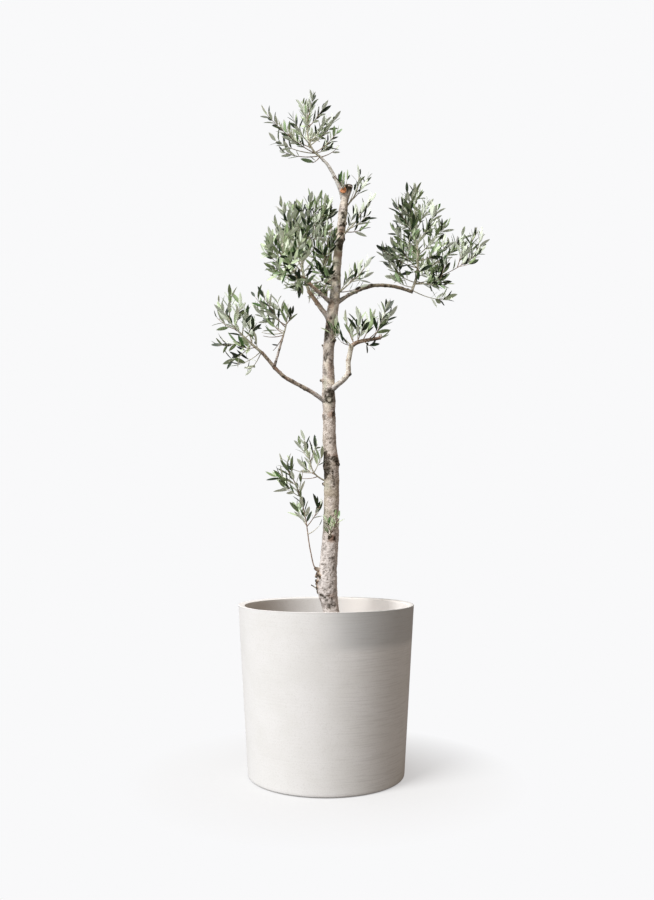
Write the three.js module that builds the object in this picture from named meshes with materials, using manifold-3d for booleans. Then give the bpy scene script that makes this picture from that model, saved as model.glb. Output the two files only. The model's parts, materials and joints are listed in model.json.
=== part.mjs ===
// A trained olive tree with a bare trunk and open sprays of leaves, standing in a round stone-look pot.
// Millimetres, +Z up. The origin is the centre of the pot's underside, and the front faces -Y.
//
// A limb leaves its parent at some height and runs in legs, each leg being [turn, rise, length]: turn is
// degrees round the vertical from +X, towards +Y, and rise is degrees above level.
import * as THREE from "three";
import { mergeVertices } from "three/addons/utils/BufferGeometryUtils.js";
import Module from "manifold-3d";

const wasm = await Module();
wasm.setup();

// Driving dimensions of the pot and of what fills it.
const POT_HEIGHT = 410;
const POT_RIM_RADIUS = 211;
const POT_FOOT_RADIUS = 188;
const POT_WALL = 15;
const POT_FLOOR = 25;
const POT_LIP_ROUND = 4;
const POT_FOOT_ROUND = 9;
const POT_SIDES = 48;
const SOIL_BELOW_RIM = 65;
const GAP = 0.3;

// Driving dimensions of the wood and the leaves.
const TRUNK_SIDES = 14;
const TRUNK_RINGS = 32;
const BOUGH_SIDES = 7;
const BOUGH_RING_EVERY = 22;
const KNOT_SUNK = 0.62;
const STEM_SIDES = 4;
const STEM_RINGS_PER_LEG = 2;
const STEM_SHARE_OF_BOUGH = 0.85;
const STEM_START_INSIDE = 3;
const SPRAY_FOOT_RADIUS = 2.6;
const STEM_BARE = 0.55;
const TWIG_SIDES = 3;
const TWIG_FOOT_RADIUS = 1.6;
const TWIG_TIP_RADIUS = 0.8;
const TWIG_RINGS = 2;
const TWIG_SAG = 0.14;
const TWIG_BARE = 0.3;
const TWIG_SHORTEST = 24;
const LEAF_LENGTH = 46;
const LEAF_WIDTH = 13;
const LEAF_THICKNESS = 1.4;
const LEAF_GAP = 21;
const LEAF_LAST_AT = 0.97;
const LEAF_SPREAD = 42;
const LEAF_SPREAD_AT_TIP = 26;
const LEAF_SCATTER = { length: [0.82, 1.12], spread: 20, turn: 50, roll: 70 };
const LEAF_LIFT = 0.35;
const LIMB_CLEARANCE = 3;
const SPACE_CLEARANCE = 0.06;
const GOLDEN_ANGLE = 137.5;
const SLIVER = 0.3;

const SOIL_TOP = POT_HEIGHT - SOIL_BELOW_RIM;
const UP = new THREE.Vector3(0, 0, 1);
const SIDEWAYS = new THREE.Vector3(1, 0, 0);

const BARK = new THREE.MeshStandardMaterial({ color: 0xa99c8c, roughness: 0.9, metalness: 0 });
const YOUNG_BARK = new THREE.MeshStandardMaterial({ color: 0x9b8d76, roughness: 0.85, metalness: 0 });
const LEAF = new THREE.MeshStandardMaterial({ color: 0x6f8566, roughness: 0.55, metalness: 0 });
const STONE = new THREE.MeshStandardMaterial({ color: 0xd9d5d0, roughness: 0.85, metalness: 0 });
const EARTH = new THREE.MeshStandardMaterial({ color: 0x4a3a2c, roughness: 1, metalness: 0 });

// Trunk: [height above the soil, sideways, backwards, radius], from the flat cut at the soil to the top.
const TRUNK = [
  [0, 14, 0, 27],
  [24, 14, 0, 22],
  [50, 11, 0, 20],
  [74, 6, 0, 21.5],
  [100, 3, 0, 23.5],
  [150, 5, 1, 21],
  [219, 10, 3, 19.5],
  [315, 13, 4, 18.2],
  [412, 12, 2, 18.2],
  [440, 9, 1, 16.3],
  [532, 7, -1, 15.2],
  [557, 6, -2, 16.4],
  [600, 6, -2, 14.6],
  [677, 6, -2, 13.4],
  [774, 16, 0, 13.8],
  [822, 22, 0, 12.4],
  [894, 26, 2, 10.8],
  [968, 36, 3, 10.2],
  [1030, 43, 3, 10.4],
  [1074, 53, 2, 10.6],
];

// Knots and old pruning scars on the trunk: [height, turn, size].
const KNOTS = [
  [106, 182, 10],
  [132, 186, 9],
  [226, -84, 8],
  [404, 12, 9],
  [396, 205, 8],
  [516, 20, 8],
  [545, -70, 8],
  [922, -5, 7],
  [1052, 218, 9],
];

// Boughs: where each leaves its parent, its legs, and its radius at the foot and the tip.
const BOUGHS = {
  bough_low_left: { height: 547, legs: [[201, 30, 57], [200, 26, 75], [199, 45, 72]], radius: [6.2, 4] },
  spur_low_left: { parent: "bough_low_left", share: 0.78, legs: [[8, 74, 78]], radius: [2.8, 2.3] },
  bough_low_right: { height: 576, legs: [[-34, 33, 64], [-40, 84, 31], [-16, 79, 40]], radius: [7, 5] },
  bough_right: {
    height: 784,
    legs: [[14, 36, 50], [16, 25, 60], [9, 2, 55], [7, -14, 52]],
    radius: [5.6, 3.3],
  },
  bough_left_front: { height: 786, legs: [[205, 34, 52], [200, 38, 46]], radius: [4.8, 3.5] },
  bough_left_rear: { height: 746, legs: [[146, 50, 52], [157, 54, 52]], radius: [5.2, 3.8] },
  bough_top: { height: 1036, legs: [[196, 68, 50], [195, 58, 46], [187, 46, 24]], radius: [5.4, 3.2] },
};

// Masses of leaves. Each grows on one stem from the tip of a bough, or from the trunk at a height.
// lobes: the space it keeps to, as ellipsoids [x, y, height, half width, half depth, half height].
// twigs: [share of the way up the stem, turn, rise, length, bare share]. fill: how many twigs the seeded rule
// adds to them.
const MASSES = {
  leaves_top: {
    bough: "bough_top",
    legs: [[186, 40, 24], [170, 68, 36], [160, 88, 74]],
    lobes: [[-56, -10, 1203, 108, 90, 98], [-142, -38, 1238, 42, 46, 56]],
    twigs: [
      [0.1, 193, 34, 146], [0.3, 231, 32, 74], [0.5, 115, 72, 91], [0.75, -47, 66, 51],
      [0.62, -40, 31, 55], [0.3, 15, 49, 97], [0.14, -33, 26, 66], [0.02, 17, 30, 43, 0.5],
      [0.12, 188, 14, 99, 0.5], [0.05, 169, 10, 85, 0.45], [0.25, 152, 39, 103], [0.4, 48, 37, 77],
      [0.03, 238, -39, 44, 0.3],
    ],
    fill: 1,
    seed: 11,
  },
  leaves_right: {
    bough: "bough_right",
    legs: [[12, 72, 44], [0, 88, 50], [200, 86, 52], [200, 86, 60]],
    lobes: [[222, 40, 955, 108, 95, 156], [366, 52, 946, 46, 44, 56], [284, 44, 830, 48, 42, 40]],
    twigs: [
      [0.97, 82, 82, 54], [0.75, 41, 62, 85], [0.6, -11, 57, 89], [0.45, 30, 49, 121],
      [0.7, 201, 49, 80], [0.62, 128, 67, 115], [0.45, 147, 48, 94], [0.3, 193, 23, 97],
      [0.12, 160, 35, 74], [0.1, 4, 27, 185, 0.5], [0.24, 18, 37, 158, 0.45], [0.38, -29, 17, 77],
      [0.02, 5, -14, 90, 0.45], [0.1, -20, 6, 69], [0.3, 235, 18, 77], [0.2, 50, 30, 68],
      [0.5, 248, 29, 74], [0.06, 205, 9, 44],
    ],
    fill: 2,
    seed: 23,
  },
  leaves_left_front: {
    bough: "bough_left_front",
    legs: [[212, 24, 30], [206, 50, 36], [209, 74, 30]],
    lobes: [[-92, -54, 882, 90, 98, 112]],
    twigs: [
      [0.4, 195, 24, 56], [0.65, 229, 34, 50], [0.9, 64, 79, 42], [0.15, 216, -6, 65],
      [0.05, 204, -36, 54], [0.25, -80, -32, 70], [0.7, -55, 3, 62], [0.1, -86, -51, 64],
      [0.5, -85, -13, 82], [0.8, 70, 40, 63],
    ],
    fill: 2,
    seed: 37,
  },
  leaves_left_rear: {
    bough: "bough_left_rear",
    legs: [[153, 72, 62], [0, 88, 60], [-25, 76, 54]],
    lobes: [[-52, 25, 990, 98, 92, 96]],
    twigs: [
      [0.97, 20, 66, 79], [0.8, -63, 69, 88], [0.75, 136, 67, 116], [0.6, 196, 64, 125],
      [0.4, 163, 57, 129], [0.3, 208, 46, 102], [0.65, 26, 58, 130], [0.45, -19, 49, 95],
      [0.3, 37, 55, 90], [0.55, 104, 59, 120], [0.5, -75, 43, 85], [0.85, -18, 45, 100],
      [0.7, 31, 40, 116],
    ],
    fill: 2,
    seed: 41,
  },
  leaves_left_inner: {
    height: 838,
    legs: [[140, 40, 48], [100, 62, 34]],
    lobes: [[-8, 4, 886, 70, 92, 112]],
    twigs: [
      [0.35, 148, -3, 59], [0.7, 160, 34, 42], [0.95, 249, 35, 49], [0.6, 78, 53, 61],
      [0.25, 128, -12, 55], [0.55, 252, -5, 50], [0.9, -72, 24, 69], [0.4, -82, -11, 47],
      [0.1, 189, -54, 44], [0.8, 33, 85, 71], [0.2, 176, -34, 71], [0.3, -73, -45, 54],
    ],
    fill: 1,
    seed: 53,
  },
  leaves_low_left: {
    bough: "bough_low_left",
    legs: [[196, 38, 38], [195, 42, 38], [190, 46, 30]],
    lobes: [[-204, -65, 714, 76, 84, 116]],
    twigs: [
      [0.98, 87, 83, 60], [0.9, 205, 56, 56], [0.75, 149, 31, 68], [0.8, 79, 59, 90],
      [0.45, 194, -14, 69], [0.3, 210, -39, 75], [0.05, 180, -32, 54, 0.4], [0.5, -55, 23, 60],
      [0.3, 111, 61, 68], [0.03, 148, -51, 44, 0.3], [0.6, -65, 50, 47], [0.2, 238, -8, 55],
    ],
    fill: 0,
    seed: 67,
  },
  leaves_low_left_spur: {
    bough: "spur_low_left",
    legs: [[22, 74, 28], [30, 82, 24]],
    lobes: [[-128, -35, 752, 76, 80, 92]],
    twigs: [
      [0.55, 173, 43, 102], [0.45, 213, 47, 81], [0.7, 138, 60, 71], [0.95, -40, 85, 30],
      [0.6, -60, 28, 33], [0.25, 150, 38, 104, 0.4], [0.08, 211, -9, 54], [0.15, 145, 40, 51],
      [0.02, 145, -45, 43, 0.3],
    ],
    fill: 0,
    seed: 71,
  },
  leaves_low_right: {
    bough: "bough_low_right",
    legs: [[0, 34, 16], [5, 12, 58]],
    lobes: [[94, -40, 730, 98, 80, 88]],
    twigs: [
      [0.55, 0, 48, 103], [0.75, -48, 56, 76], [0.4, 41, 62, 68], [0.25, 268, 63, 52],
      [0.12, 139, 65, 60], [0.03, 199, 45, 58], [0.06, 225, 2, 40], [0.45, -63, -30, 38],
    ],
    fill: 0,
    seed: 83,
  },
  spray_right: {
    height: 946,
    legs: [[-24, 41, 56], [-17, 54, 33], [-23, 47, 23]],
    lobes: [[85, -10, 1000, 56, 58, 84]],
    twigs: [
      [0.2, 13, 14, 43], [0.3, -34, 22, 52], [0.15, -55, 44, 47], [0.45, 56, 57, 62],
    ],
    fill: 0,
    seed: 97,
  },
  spray_upper_right: {
    height: 1014,
    legs: [[17, 54, 52], [28, 73, 29], [-42, 80, 17]],
    lobes: [[84, 2, 1078, 50, 56, 66]],
    twigs: [
      [0.35, 21, 54, 70], [0.2, -65, 33, 40],
    ],
    fill: 0,
    seed: 101,
  },
  spray_middle_right: {
    height: 806,
    legs: [[-21, 36, 49], [-14, 39, 31], [0, 55, 29]],
    lobes: [[78, -8, 856, 56, 56, 70]],
    twigs: [
      [0.15, -17, 9, 51], [0.35, 46, 53, 61], [0.1, -46, 43, 50], [0.5, 34, 25, 47],
    ],
    fill: 0,
    seed: 103,
  },
  shoot_top: {
    height: 1046,
    legs: [[254, 45, 31]],
    lobes: [[42, -18, 1086, 34, 36, 48]],
    twigs: [
      [0.6, 239, 28, 21], [0.55, -24, 72, 25],
    ],
    fill: 0,
    seed: 107,
  },
  sucker: {
    height: 126,
    legs: [[204, 55, 81], [197, 81, 75], [190, 77, 54], [180, 69, 41], [187, 59, 33], [180, 59, 22]],
    lobes: [[-42, -22, 268, 58, 52, 76], [-90, -26, 378, 64, 54, 72]],
    twigs: [
      [0.46, -13, 58, 74], [0.47, 163, 59, 48], [0.4, -6, 36, 33, 0.6], [0.74, 46, 74, 59],
      [0.8, 195, 31, 46], [0.76, 158, 19, 39], [0.7, 216, 28, 31], [0.85, 112, 70, 46],
    ],
    fill: 0,
    seed: 109,
  },
  spray_knot: {
    height: 352,
    legs: [[202, 31, 53], [200, 71, 40], [190, 74, 42]],
    lobes: [[-40, -12, 418, 54, 54, 80]],
    twigs: [
      [0.3, 200, -5, 48], [0.4, -43, 58, 45], [0.65, 150, 51, 43], [0.6, -17, 71, 30],
      [0.35, 145, 33, 42],
    ],
    fill: 0,
    seed: 113,
  },
  trunk_tuft: {
    height: 216,
    legs: [[-87, 36, 41], [-81, 50, 22]],
    lobes: [[15, -44, 256, 42, 44, 54]],
    twigs: [
      [0.5, -60, 46, 48], [0.6, 240, 54, 32], [0.45, 253, 11, 31], [0.8, 16, 73, 30],
    ],
    fill: 0,
    seed: 127,
  },
  fork_sprig: {
    height: 690,
    legs: [[-63, 24, 34], [-70, 65, 17]],
    lobes: [[22, -36, 724, 44, 46, 54]],
    twigs: [
      [0.5, 235, 56, 19], [0.5, -50, 22, 29], [0.8, 57, 64, 24],
    ],
    fill: 0,
    seed: 131,
  },
};

const radians = THREE.MathUtils.degToRad;

// A direction from its turn round the vertical and its rise above level, in degrees.
function heading(turn, rise) {
  const level = Math.cos(radians(rise));
  return new THREE.Vector3(
    level * Math.cos(radians(turn)),
    level * Math.sin(radians(turn)),
    Math.sin(radians(rise)),
  );
}

// A smooth line that starts at a point and runs in legs.
function lineFrom(start, legs) {
  const points = [start.clone()];
  for (const [turn, rise, length] of legs)
    points.push(points.at(-1).clone().addScaledVector(heading(turn, rise), length));
  return points.length > 2
    ? new THREE.CatmullRomCurve3(points, false, "centripetal")
    : new THREE.LineCurve3(points[0], points[1]);
}

// The same series of numbers between 0 and 1 each time for a seed.
function series(seed) {
  let state = seed >>> 0;
  return () => {
    state = (Math.imul(state, 1664525) + 1013904223) >>> 0;
    return state / 4294967296;
  };
}

// Merged, position-only copy of a geometry as a solid that can be cut and joined.
function solidOf(geometry) {
  const bare = geometry.clone();
  bare.deleteAttribute("normal");
  bare.deleteAttribute("uv");
  const merged = mergeVertices(bare, 1e-4);
  return new wasm.Manifold(
    new wasm.Mesh({
      numProp: 3,
      vertProperties: new Float32Array(merged.attributes.position.array),
      triVerts: new Uint32Array(merged.index.array),
    }),
  );
}

function geometryOf(solid) {
  const mesh = solid.getMesh();
  const geometry = new THREE.BufferGeometry();
  geometry.setAttribute("position", new THREE.BufferAttribute(new Float32Array(mesh.vertProperties), 3));
  geometry.setIndex(new THREE.BufferAttribute(new Uint32Array(mesh.triVerts), 1));
  geometry.computeVertexNormals();
  return geometry;
}

// A closed limb with round sections along a line: a cylinder whose rings are moved onto the line.
// radiusAt gives the radius at a share of the length, and extra is added all round and at both ends. The
// rings stand square to the line and don't twist round it, or are level if the limb is cut flat at its ends.
function limbSolid(line, radiusAt, sides, rings, extra = 0, level = false) {
  const tube = new THREE.CylinderGeometry(1, 1, 1, sides, rings);
  const frames = line.computeFrenetFrames(rings);
  const place = tube.attributes.position;
  for (let i = 0; i < place.count; i++) {
    const share = THREE.MathUtils.clamp(place.getY(i) + 0.5, 0, 1);
    const ring = Math.round(share * rings);
    const along = level ? UP : frames.tangents[ring];
    const across = level ? SIDEWAYS : frames.normals[ring];
    const beside = along.clone().cross(across);
    const radius = radiusAt(share) + extra;
    const point = line.getPointAt(share);
    if (share === 0 || share === 1) point.addScaledVector(along, (2 * share - 1) * extra);
    point.addScaledVector(across, place.getZ(i) * radius);
    point.addScaledVector(beside, place.getX(i) * radius);
    place.setXYZ(i, point.x, point.y, point.z);
  }
  return solidOf(tube);
}

// A point on the straight middles of a limb's facets, which run from ring to ring.
function middleAt(line, rings, share) {
  const ring = Math.min(Math.floor(share * rings), rings - 1);
  return line.getPointAt(ring / rings).lerp(line.getPointAt((ring + 1) / rings), share * rings - ring);
}

// The largest single body of a solid, with any hollow that fusing has sealed left filled.
function mainBody(solid) {
  return solid.decompose().reduce((a, b) => (b.volume() > a.volume() ? b : a));
}

// Pot: one turned profile, closed on the axis, with a rounded lip and a rounded foot.
function potGeometry() {
  const slope = (POT_RIM_RADIUS - POT_FOOT_RADIUS) / POT_HEIGHT;
  const outer = (height) => POT_FOOT_RADIUS + slope * height;
  const profile = new THREE.Path();
  profile.moveTo(0, 0);
  profile.lineTo(POT_FOOT_RADIUS - POT_FOOT_ROUND, 0);
  profile.quadraticCurveTo(POT_FOOT_RADIUS, 0, outer(POT_FOOT_ROUND), POT_FOOT_ROUND);
  profile.lineTo(outer(POT_HEIGHT - POT_LIP_ROUND), POT_HEIGHT - POT_LIP_ROUND);
  profile.quadraticCurveTo(POT_RIM_RADIUS, POT_HEIGHT, POT_RIM_RADIUS - POT_LIP_ROUND, POT_HEIGHT);
  profile.lineTo(POT_RIM_RADIUS - POT_WALL + POT_LIP_ROUND, POT_HEIGHT);
  profile.quadraticCurveTo(
    POT_RIM_RADIUS - POT_WALL,
    POT_HEIGHT,
    outer(POT_HEIGHT - POT_LIP_ROUND) - POT_WALL,
    POT_HEIGHT - POT_LIP_ROUND,
  );
  profile.lineTo(outer(POT_FLOOR) - POT_WALL, POT_FLOOR);
  profile.lineTo(0, POT_FLOOR);
  return new THREE.LatheGeometry(profile.getPoints(2), POT_SIDES);
}

// Soil: a plug that fills the pot from its floor to below the rim, GAP clear of the pot all round.
function soilGeometry() {
  const slope = (POT_RIM_RADIUS - POT_FOOT_RADIUS) / POT_HEIGHT;
  const inner = (height) => POT_FOOT_RADIUS + slope * height - POT_WALL - 2 * GAP;
  const low = POT_FLOOR + GAP;
  const profile = [
    new THREE.Vector2(0, low),
    new THREE.Vector2(inner(low), low),
    new THREE.Vector2(inner(SOIL_TOP), SOIL_TOP),
    new THREE.Vector2(0, SOIL_TOP),
  ];
  return new THREE.LatheGeometry(profile, POT_SIDES);
}

// LatheGeometry turns about Y, so it is stood up on Z.
const standUp = (geometry) => geometry.rotateX(Math.PI / 2);

// Trunk: its line, its radius at each share of its length, and where the line is at a height above the soil.
const trunkLine = new THREE.CatmullRomCurve3(
  TRUNK.map(([height, side, back]) => new THREE.Vector3(side, back, height)),
  false,
  "centripetal",
);

function trunkRadiusAtHeight(height) {
  const above = TRUNK.findIndex(([h]) => h >= height);
  if (above <= 0) return TRUNK[above === 0 ? 0 : TRUNK.length - 1][3];
  const [low, high] = [TRUNK[above - 1], TRUNK[above]];
  const share = (height - low[0]) / (high[0] - low[0]);
  return THREE.MathUtils.lerp(low[3], high[3], THREE.MathUtils.smoothstep(share, 0, 1));
}

function trunkAtHeight(height) {
  let [low, high] = [0, 1];
  for (let i = 0; i < 24; i++) {
    const middle = (low + high) / 2;
    if (trunkLine.getPointAt(middle).z < height) low = middle;
    else high = middle;
  }
  return trunkLine.getPointAt(low);
}

const trunkRadius = (share) => trunkRadiusAtHeight(trunkLine.getPointAt(share).z);

// A knot is a low swelling that stands out of the bark by about a third of its size.
function knotSolid([height, turn, size], extra) {
  const ball = new THREE.SphereGeometry(size + extra, 7, 5);
  const centre = trunkAtHeight(height);
  centre.addScaledVector(heading(turn, 0), trunkRadiusAtHeight(height) - KNOT_SUNK * size);
  return solidOf(ball.translate(centre.x, centre.y, centre.z));
}

// The trunk grown by extra all round, with a flat cut at the soil and at the top.
function trunkSolid(extra) {
  return KNOTS.reduce(
    (wood, knot) => wood.add(knotSolid(knot, extra)),
    limbSolid(trunkLine, trunkRadius, TRUNK_SIDES, TRUNK_RINGS, extra, true),
  );
}

// Each bough starts on its parent's axis and is cut clear of the parent's skin.
const limbs = { trunk: { line: trunkLine, radiusAt: trunkRadius } };
for (const [name, { parent = "trunk", share, height, legs, radius }] of Object.entries(BOUGHS)) {
  const start = parent === "trunk" ? trunkAtHeight(height) : limbs[parent].line.getPointAt(share);
  const line = lineFrom(start, legs);
  limbs[name] = { line, parent, radiusAt: (s) => THREE.MathUtils.lerp(radius[0], radius[1], s) };
}

function boughSolid(name, extra) {
  const { line, radiusAt } = limbs[name];
  const rings = Math.round(line.getLength() / BOUGH_RING_EVERY) + 2;
  return limbSolid(line, radiusAt, BOUGH_SIDES, rings, extra);
}

const grownTrunk = trunkSolid(GAP);
const grownParent = (name) => (name === "trunk" ? grownTrunk : boughSolid(name, GAP));

// Points along every limb, which twigs and leaves have to stay clear of.
const limbMarks = Object.values(limbs).flatMap(({ line, radiusAt }) => {
  const count = Math.ceil(line.getLength() / 6);
  return Array.from({ length: count + 1 }, (_, i) => ({
    point: line.getPointAt(i / count),
    reach: radiusAt(i / count) + LIMB_CLEARANCE,
  }));
});
const clearOfLimbs = (point, extra = 0) =>
  limbMarks.every((mark) => mark.point.distanceTo(point) > mark.reach + extra);

// How deep a point is in a mass's space: below 1 inside it, 0 at the middle of a lobe.
function depthIn({ lobes }, point) {
  return Math.min(
    ...lobes.map(([x, y, z, wide, deep, tall]) =>
      Math.hypot((point.x - x) / wide, (point.y - y) / deep, (point.z - z) / tall),
    ),
  );
}

// A point belongs to a mass if it is inside its space and deeper there than in any other mass's space.
function ownedBy(mass, point) {
  const own = depthIn(mass, point);
  if (own > 1) return false;
  return Object.values(MASSES).every(
    (other) => other === mass || depthIn(other, point) > own + SPACE_CLEARANCE,
  );
}

// A twig leaves its parent line, droops a little and then turns up, as far as its chord reaches.
function twigLine(start, turn, rise, length) {
  const end = start.clone().addScaledVector(heading(turn, rise), length);
  const bend = start.clone().lerp(end, 0.5).addScaledVector(UP, -TWIG_SAG * length);
  return new THREE.QuadraticBezierCurve3(start, bend, end);
}

// The twigs of a mass and their bare shares: those listed, and those that fill its depth by the golden angle.
// A filling twig is as long as its space allows, and one that would touch a limb is skipped.
function twigsOf(mass, stem, stemRings) {
  const random = series(mass.seed);
  const twigs = mass.twigs.map(([share, turn, rise, length, bare = TWIG_BARE]) => ({
    line: twigLine(middleAt(stem, stemRings, share), turn, rise, length),
    bare,
  }));
  for (let i = 0; i < mass.fill; i++) {
    const share = 0.25 + (0.7 * (i + random())) / mass.fill;
    const turn = 75 + GOLDEN_ANGLE * i + 40 * random();
    const rise = 10 + 50 * random();
    const start = middleAt(stem, stemRings, share);
    let length = TWIG_SHORTEST;
    while (ownedBy(mass, start.clone().addScaledVector(heading(turn, rise), length + LEAF_LENGTH / 2)))
      length += 4;
    const line = twigLine(start, turn, rise, length);
    const clear = [0.4, 0.7, 1].every((s) => clearOfLimbs(line.getPointAt(s)));
    if (length > TWIG_SHORTEST && clear) twigs.push({ line, bare: TWIG_BARE });
  }
  return twigs;
}

// A leaf is a six-faced blade, widest at the middle, with its root at the origin and its tip along +X. Its
// width is along Z and its thickness along Y.
function leafBlade(length) {
  const blade = new THREE.SphereGeometry(1, 3, 2).rotateZ(Math.PI / 2);
  const width = (LEAF_WIDTH * length) / LEAF_LENGTH;
  return blade.scale(length / 2, LEAF_THICKNESS / 1.5, width / Math.sqrt(3)).translate(length / 2, 0, 0);
}

// Leaves stand in opposite pairs along a line, each pair turned a quarter round from the last, and reach up.
// A leaf whose blade would leave its mass's space or touch a limb is skipped.
function leavesAlong(mass, line, rings, bare, random) {
  const scattered = (range) => range * (random() - 0.5);
  const leaves = [];
  const pairs = Math.max(1, Math.round((line.getLength() * (1 - bare)) / LEAF_GAP));
  for (let pair = 1; pair <= pairs; pair++) {
    const share = THREE.MathUtils.lerp(bare, LEAF_LAST_AT, pair / pairs);
    const root = middleAt(line, rings, share);
    const along = line.getTangentAt(share);
    const side = along.clone().cross(UP).normalize();
    side.applyAxisAngle(along, radians(90 * (pair % 2) + scattered(LEAF_SCATTER.turn)));
    for (const hand of [1, -1]) {
      const open = pair === pairs ? LEAF_SPREAD_AT_TIP : LEAF_SPREAD;
      const spread = radians(open + scattered(LEAF_SCATTER.spread));
      const length = LEAF_LENGTH * THREE.MathUtils.lerp(...LEAF_SCATTER.length, random());
      const way = along.clone().multiplyScalar(Math.cos(spread));
      way.addScaledVector(side, hand * Math.sin(spread));
      way.addScaledVector(UP, LEAF_LIFT).normalize();
      const across = way.clone().cross(along).normalize();
      across.applyAxisAngle(way, radians(scattered(LEAF_SCATTER.roll)));
      const turned = new THREE.Matrix4().makeBasis(way, across.clone().cross(way), across);
      const blade = leafBlade(length).applyMatrix4(turned.setPosition(root));
      const marks = [0.35, 0.6, 1].map((s) => root.clone().addScaledVector(way, s * length));
      if (marks.every((mark) => ownedBy(mass, mark) && clearOfLimbs(mark, LEAF_WIDTH / 2)))
        leaves.push(solidOf(blade));
    }
  }
  return leaves;
}

// Where a mass's stem starts: just inside its bough's tip, or on the trunk's middle at a height.
function stemStart({ bough, height }) {
  if (!bough) return trunkAtHeight(height);
  const { line } = limbs[bough];
  return line.getPointAt(1).addScaledVector(line.getTangentAt(1), -STEM_START_INSIDE);
}

// One mass of leaves: its stem, twigs and leaves fused into a single body, cut clear of what carries it, with
// the slivers that fusing leaves merged into their neighbours.
function massSolid(mass) {
  const stem = lineFrom(stemStart(mass), mass.legs);
  const foot = mass.bough ? STEM_SHARE_OF_BOUGH * limbs[mass.bough].radiusAt(1) : SPRAY_FOOT_RADIUS;
  const stemRadius = (s) => THREE.MathUtils.lerp(foot, TWIG_FOOT_RADIUS, s);
  const twigRadius = (s) => THREE.MathUtils.lerp(TWIG_FOOT_RADIUS, TWIG_TIP_RADIUS, s);
  const stemRings = STEM_RINGS_PER_LEG * mass.legs.length;
  const twigs = twigsOf(mass, stem, stemRings);
  const random = series(mass.seed * 7 + 1);
  const fused = [
    ...twigs.map(({ line }) => limbSolid(line, twigRadius, TWIG_SIDES, TWIG_RINGS)),
    ...leavesAlong(mass, stem, stemRings, STEM_BARE, random),
    ...twigs.flatMap(({ line, bare }) => leavesAlong(mass, line, TWIG_RINGS, bare, random)),
  ].reduce((all, piece) => all.add(piece), limbSolid(stem, stemRadius, STEM_SIDES, stemRings));
  return mainBody(fused.subtract(grownParent(mass.bough ?? "trunk")).simplify(SLIVER));
}

function namedMesh(name, geometry, material) {
  const mesh = new THREE.Mesh(geometry, material);
  mesh.name = name;
  return mesh;
}

const tree = new THREE.Group();
tree.position.z = SOIL_TOP + GAP;
tree.add(namedMesh("trunk", geometryOf(trunkSolid(0)), BARK));
for (const name of Object.keys(BOUGHS)) {
  const solid = mainBody(boughSolid(name, 0).subtract(grownParent(limbs[name].parent)));
  tree.add(namedMesh(name, geometryOf(solid), YOUNG_BARK));
}
for (const [name, mass] of Object.entries(MASSES))
  tree.add(namedMesh(name, geometryOf(massSolid(mass)), LEAF));

const plant = new THREE.Group();
plant.add(namedMesh("pot", standUp(potGeometry()), STONE));
plant.add(namedMesh("soil", standUp(soilGeometry()), EARTH));
plant.add(tree);

export default plant;
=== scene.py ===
# A trained olive tree with a bare trunk and open sprays of narrow leaves, in a round stone-look pot.
# +Z is up, the origin is the centre of the pot's underside, and the front faces -Y. Sizes are written in
# millimetres, and MM turns them to the scene's metres.
import json
import math

import bpy
import numpy as np
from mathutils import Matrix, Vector, noise

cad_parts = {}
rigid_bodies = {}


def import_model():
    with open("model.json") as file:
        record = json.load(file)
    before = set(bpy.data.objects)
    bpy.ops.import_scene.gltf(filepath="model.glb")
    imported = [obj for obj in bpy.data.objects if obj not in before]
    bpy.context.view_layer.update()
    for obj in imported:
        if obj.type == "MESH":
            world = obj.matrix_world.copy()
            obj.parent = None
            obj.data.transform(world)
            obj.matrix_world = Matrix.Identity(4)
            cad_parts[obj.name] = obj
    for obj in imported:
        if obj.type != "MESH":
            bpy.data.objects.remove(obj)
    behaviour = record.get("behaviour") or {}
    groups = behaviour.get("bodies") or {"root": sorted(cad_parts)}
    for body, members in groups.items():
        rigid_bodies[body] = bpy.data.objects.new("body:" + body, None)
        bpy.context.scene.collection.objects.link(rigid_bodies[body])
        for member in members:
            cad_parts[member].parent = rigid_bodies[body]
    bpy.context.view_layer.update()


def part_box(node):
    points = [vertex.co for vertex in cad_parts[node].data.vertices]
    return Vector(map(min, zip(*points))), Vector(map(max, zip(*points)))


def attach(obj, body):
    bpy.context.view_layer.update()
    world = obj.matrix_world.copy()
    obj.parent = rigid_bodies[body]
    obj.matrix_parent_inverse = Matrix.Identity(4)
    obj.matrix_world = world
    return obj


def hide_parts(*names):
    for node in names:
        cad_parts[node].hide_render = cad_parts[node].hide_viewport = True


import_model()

MM = 0.001

# Camera: level, with the eye a hand's breadth above the pot's rim, as the ellipses of its rim and foot show.
# The lens is its focal length in the picture's pixels, and the horizon lies below the middle of the picture.
EYE = (2, -2000, 592)
PICTURE_HEIGHT_PX = 900
FOCAL_LENGTH_PX = 828.7
HORIZON_ROW_PX = 528.3
SENSOR = 36

camera = bpy.data.objects.new("camera", bpy.data.cameras.new("camera"))
camera.location = Vector(EYE) * MM
camera.rotation_euler = (math.radians(90), 0, 0)
camera.data.sensor_width = SENSOR
camera.data.lens = SENSOR * FOCAL_LENGTH_PX / PICTURE_HEIGHT_PX
camera.data.shift_y = (HORIZON_ROW_PX - PICTURE_HEIGHT_PX / 2) / PICTURE_HEIGHT_PX
bpy.context.scene.collection.objects.link(camera)
bpy.context.scene.camera = camera

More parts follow.
